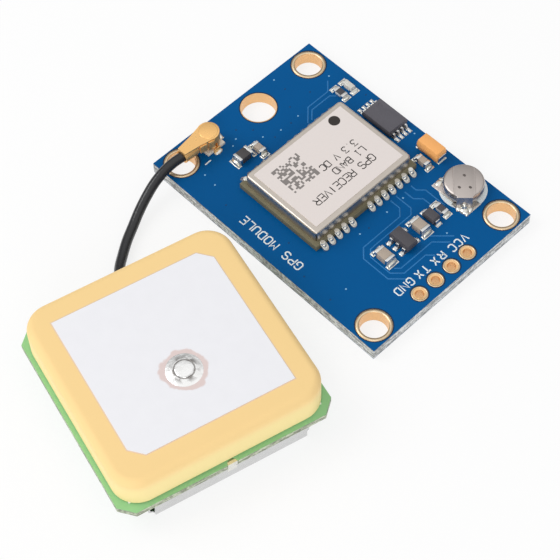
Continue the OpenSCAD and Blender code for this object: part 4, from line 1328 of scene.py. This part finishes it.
class GPS_OT_stage(Operator):
    """Lays the floor, lights it and sets the camera"""

    bl_idname = "gps.stage"
    bl_label = "Stage"

    FLOOR_HALF = 2.0
    FLOOR_DROP = 0.02 * MM
    FLOOR_GLOW = 0.8
    # A mirrored ray's climb below which it sees the horizon, and above which white sky
    SKY_CLIMB = (0.3, 0.95)
    KEY_PLACE = (-0.26, -0.22, 0.36)
    FILL_PLACE = (0.32, -0.34, 0.22)
    LAMP_SIZE = 0.3
    AZIMUTH = math.radians(47.322)
    ELEVATION = math.radians(57.288)
    ROLL = math.radians(-1.893)
    DISTANCE = 200.833 * MM
    TARGET = Vector((3.246, -12.587, 0)) * MM
    LENS = 117.3
    CLIP = (0.01, 20)

    def execute(self, context):
        scene = context.scene
        scene.view_settings.view_transform = "Standard"
        self.lay_floor(scene)
        self.light_sky(scene)
        self.add_lamp(scene, "key", self.KEY_PLACE, scene.gps_stage.key)
        self.add_lamp(scene, "fill", self.FILL_PLACE, scene.gps_stage.fill)
        self.aim_camera(scene)
        return {"FINISHED"}

    def lay_floor(self, scene):
        """A pale floor under the part, white to the camera away from its shadow."""
        half = self.FLOOR_HALF
        square = [(-half, -half), (half, -half), (half, half), (-half, half)]
        mesh = bpy.data.meshes.new("floor")
        mesh.from_pydata([(x, y, -self.FLOOR_DROP) for x, y in square], [], [(0, 1, 2, 3)])
        floor = bpy.data.objects.new("floor", mesh)
        scene.collection.objects.link(floor)
        finish = Finish("floor", roughness=0.8, specular_ior_level=0.1)
        finish.set(base_color=tuple(scene.gps_stage.floor))
        glow = finish.node("ShaderNodeEmission", inputs={"Color": (1, 1, 1), "Strength": 1.0})
        seen = finish.node("ShaderNodeLightPath", output="Is Camera Ray")
        glossy = finish.node("ShaderNodeLightPath", output="Is Glossy Ray")
        share = (seen | glossy) * self.FLOOR_GLOW
        mixed = finish.node(
            "ShaderNodeMixShader",
            inputs={0: share, 1: Value(finish, finish.surface.outputs[0]), 2: glow},
        )
        finish.feed(finish.tree.nodes["Material Output"].inputs["Surface"], mixed)
        mesh.materials.append(finish.material)

    def light_sky(self, scene):
        """A pale sky, white to the camera and darker near the horizon in reflections."""
        world = bpy.data.worlds.new("sky")
        world.use_nodes = True
        scene.world = world
        graph = Graph(world.node_tree)
        camera, glossy, clear = (
            graph.node("ShaderNodeLightPath", output=f"Is {kind} Ray")
            for kind in ("Camera", "Glossy", "Transmission")
        )
        towards = graph.node("ShaderNodeTexCoord", output="Generated")
        climb = graph.node("ShaderNodeSeparateXYZ", inputs={0: towards}, output="Z")
        low, high = self.SKY_CLIMB
        horizon, sky = scene.gps_stage.horizon, scene.gps_stage.sky
        mirrored = graph.node(
            "ShaderNodeMapRange", {"interpolation_type": "SMOOTHSTEP"},
            {"Value": climb, "From Min": low, "From Max": high, "To Min": horizon, "To Max": 1.0},
        )
        reflected = glossy | clear
        unseen = reflected * mirrored + (1 - reflected) * sky
        back = world.node_tree.nodes["Background"]
        graph.feed(back.inputs["Color"], (1.0, 1.0, 1.0))
        graph.feed(back.inputs["Strength"], camera + (1 - camera) * unseen)

    def add_lamp(self, scene, name, place, power):
        """A soft square lamp that faces the part."""
        lamp = bpy.data.lights.new(name, "AREA")
        lamp.size = self.LAMP_SIZE
        lamp.energy = power
        made = bpy.data.objects.new(name, lamp)
        made.location = place
        made.rotation_euler = (self.TARGET - Vector(place)).to_track_quat("-Z", "Y").to_euler()
        scene.collection.objects.link(made)

    def aim_camera(self, scene):
        """The camera stands where the picture was taken from."""
        flat = math.cos(self.ELEVATION)
        back = Vector((
            math.sin(self.AZIMUTH) * flat, -math.cos(self.AZIMUTH) * flat, math.sin(self.ELEVATION),
        ))
        right = Vector((0, 0, 1)).cross(back).normalized()
        up = back.cross(right)
        rolled_right = math.cos(self.ROLL) * right + math.sin(self.ROLL) * up
        rolled_up = math.cos(self.ROLL) * up - math.sin(self.ROLL) * right
        lens = bpy.data.cameras.new("camera")
        lens.lens = self.LENS
        lens.clip_start, lens.clip_end = self.CLIP
        camera = bpy.data.objects.new("camera", lens)
        turn = Matrix((rolled_right, rolled_up, back)).transposed().to_4x4()
        camera.matrix_world = Matrix.Translation(self.TARGET + back * self.DISTANCE) @ turn
        scene.collection.objects.link(camera)
        scene.camera = camera


class GPS_PT_receiver(Panel):
    """Lists the steps in the sidebar"""

    bl_idname = "GPS_PT_receiver"
    bl_label = "Receiver and antenna"
    bl_space_type = "VIEW_3D"
    bl_region_type = "UI"
    bl_category = "Receiver"

    def draw(self, context):
        for step in STEPS:
            self.layout.operator(step.bl_idname)


GROUPS = {
    "gps_board": BoardFinish,
    "gps_receiver": ReceiverFinish,
    "gps_parts": PartsFinish,
    "gps_antenna": AntennaFinish,
    "gps_cable": CableFinish,
    "gps_stage": StageFinish,
}
STEPS = (
    GPS_OT_finishes, GPS_OT_stage, GPS_OT_cable, GPS_OT_board, GPS_OT_receiver, GPS_OT_chips,
    GPS_OT_chip_parts, GPS_OT_battery, GPS_OT_connector, GPS_OT_antenna,
)


def register():
    for made in (*GROUPS.values(), *STEPS, GPS_PT_receiver):
        bpy.utils.register_class(made)
    for name, group in GROUPS.items():
        setattr(bpy.types.Scene, name, PointerProperty(type=group))


def unregister():
    for name in GROUPS:
        delattr(bpy.types.Scene, name)
    for made in reversed((*GROUPS.values(), *STEPS, GPS_PT_receiver)):
        bpy.utils.unregister_class(made)


def main():
    register()
    bpy.ops.gps.finishes()
    bpy.ops.gps.stage()
    bpy.ops.gps.cable()
    bpy.ops.gps.board()
    bpy.ops.gps.receiver()
    bpy.ops.gps.chips()
    bpy.ops.gps.chip_parts()
    bpy.ops.gps.battery()
    bpy.ops.gps.connector()
    bpy.ops.gps.antenna()


if __name__ == "__main__":
    main()
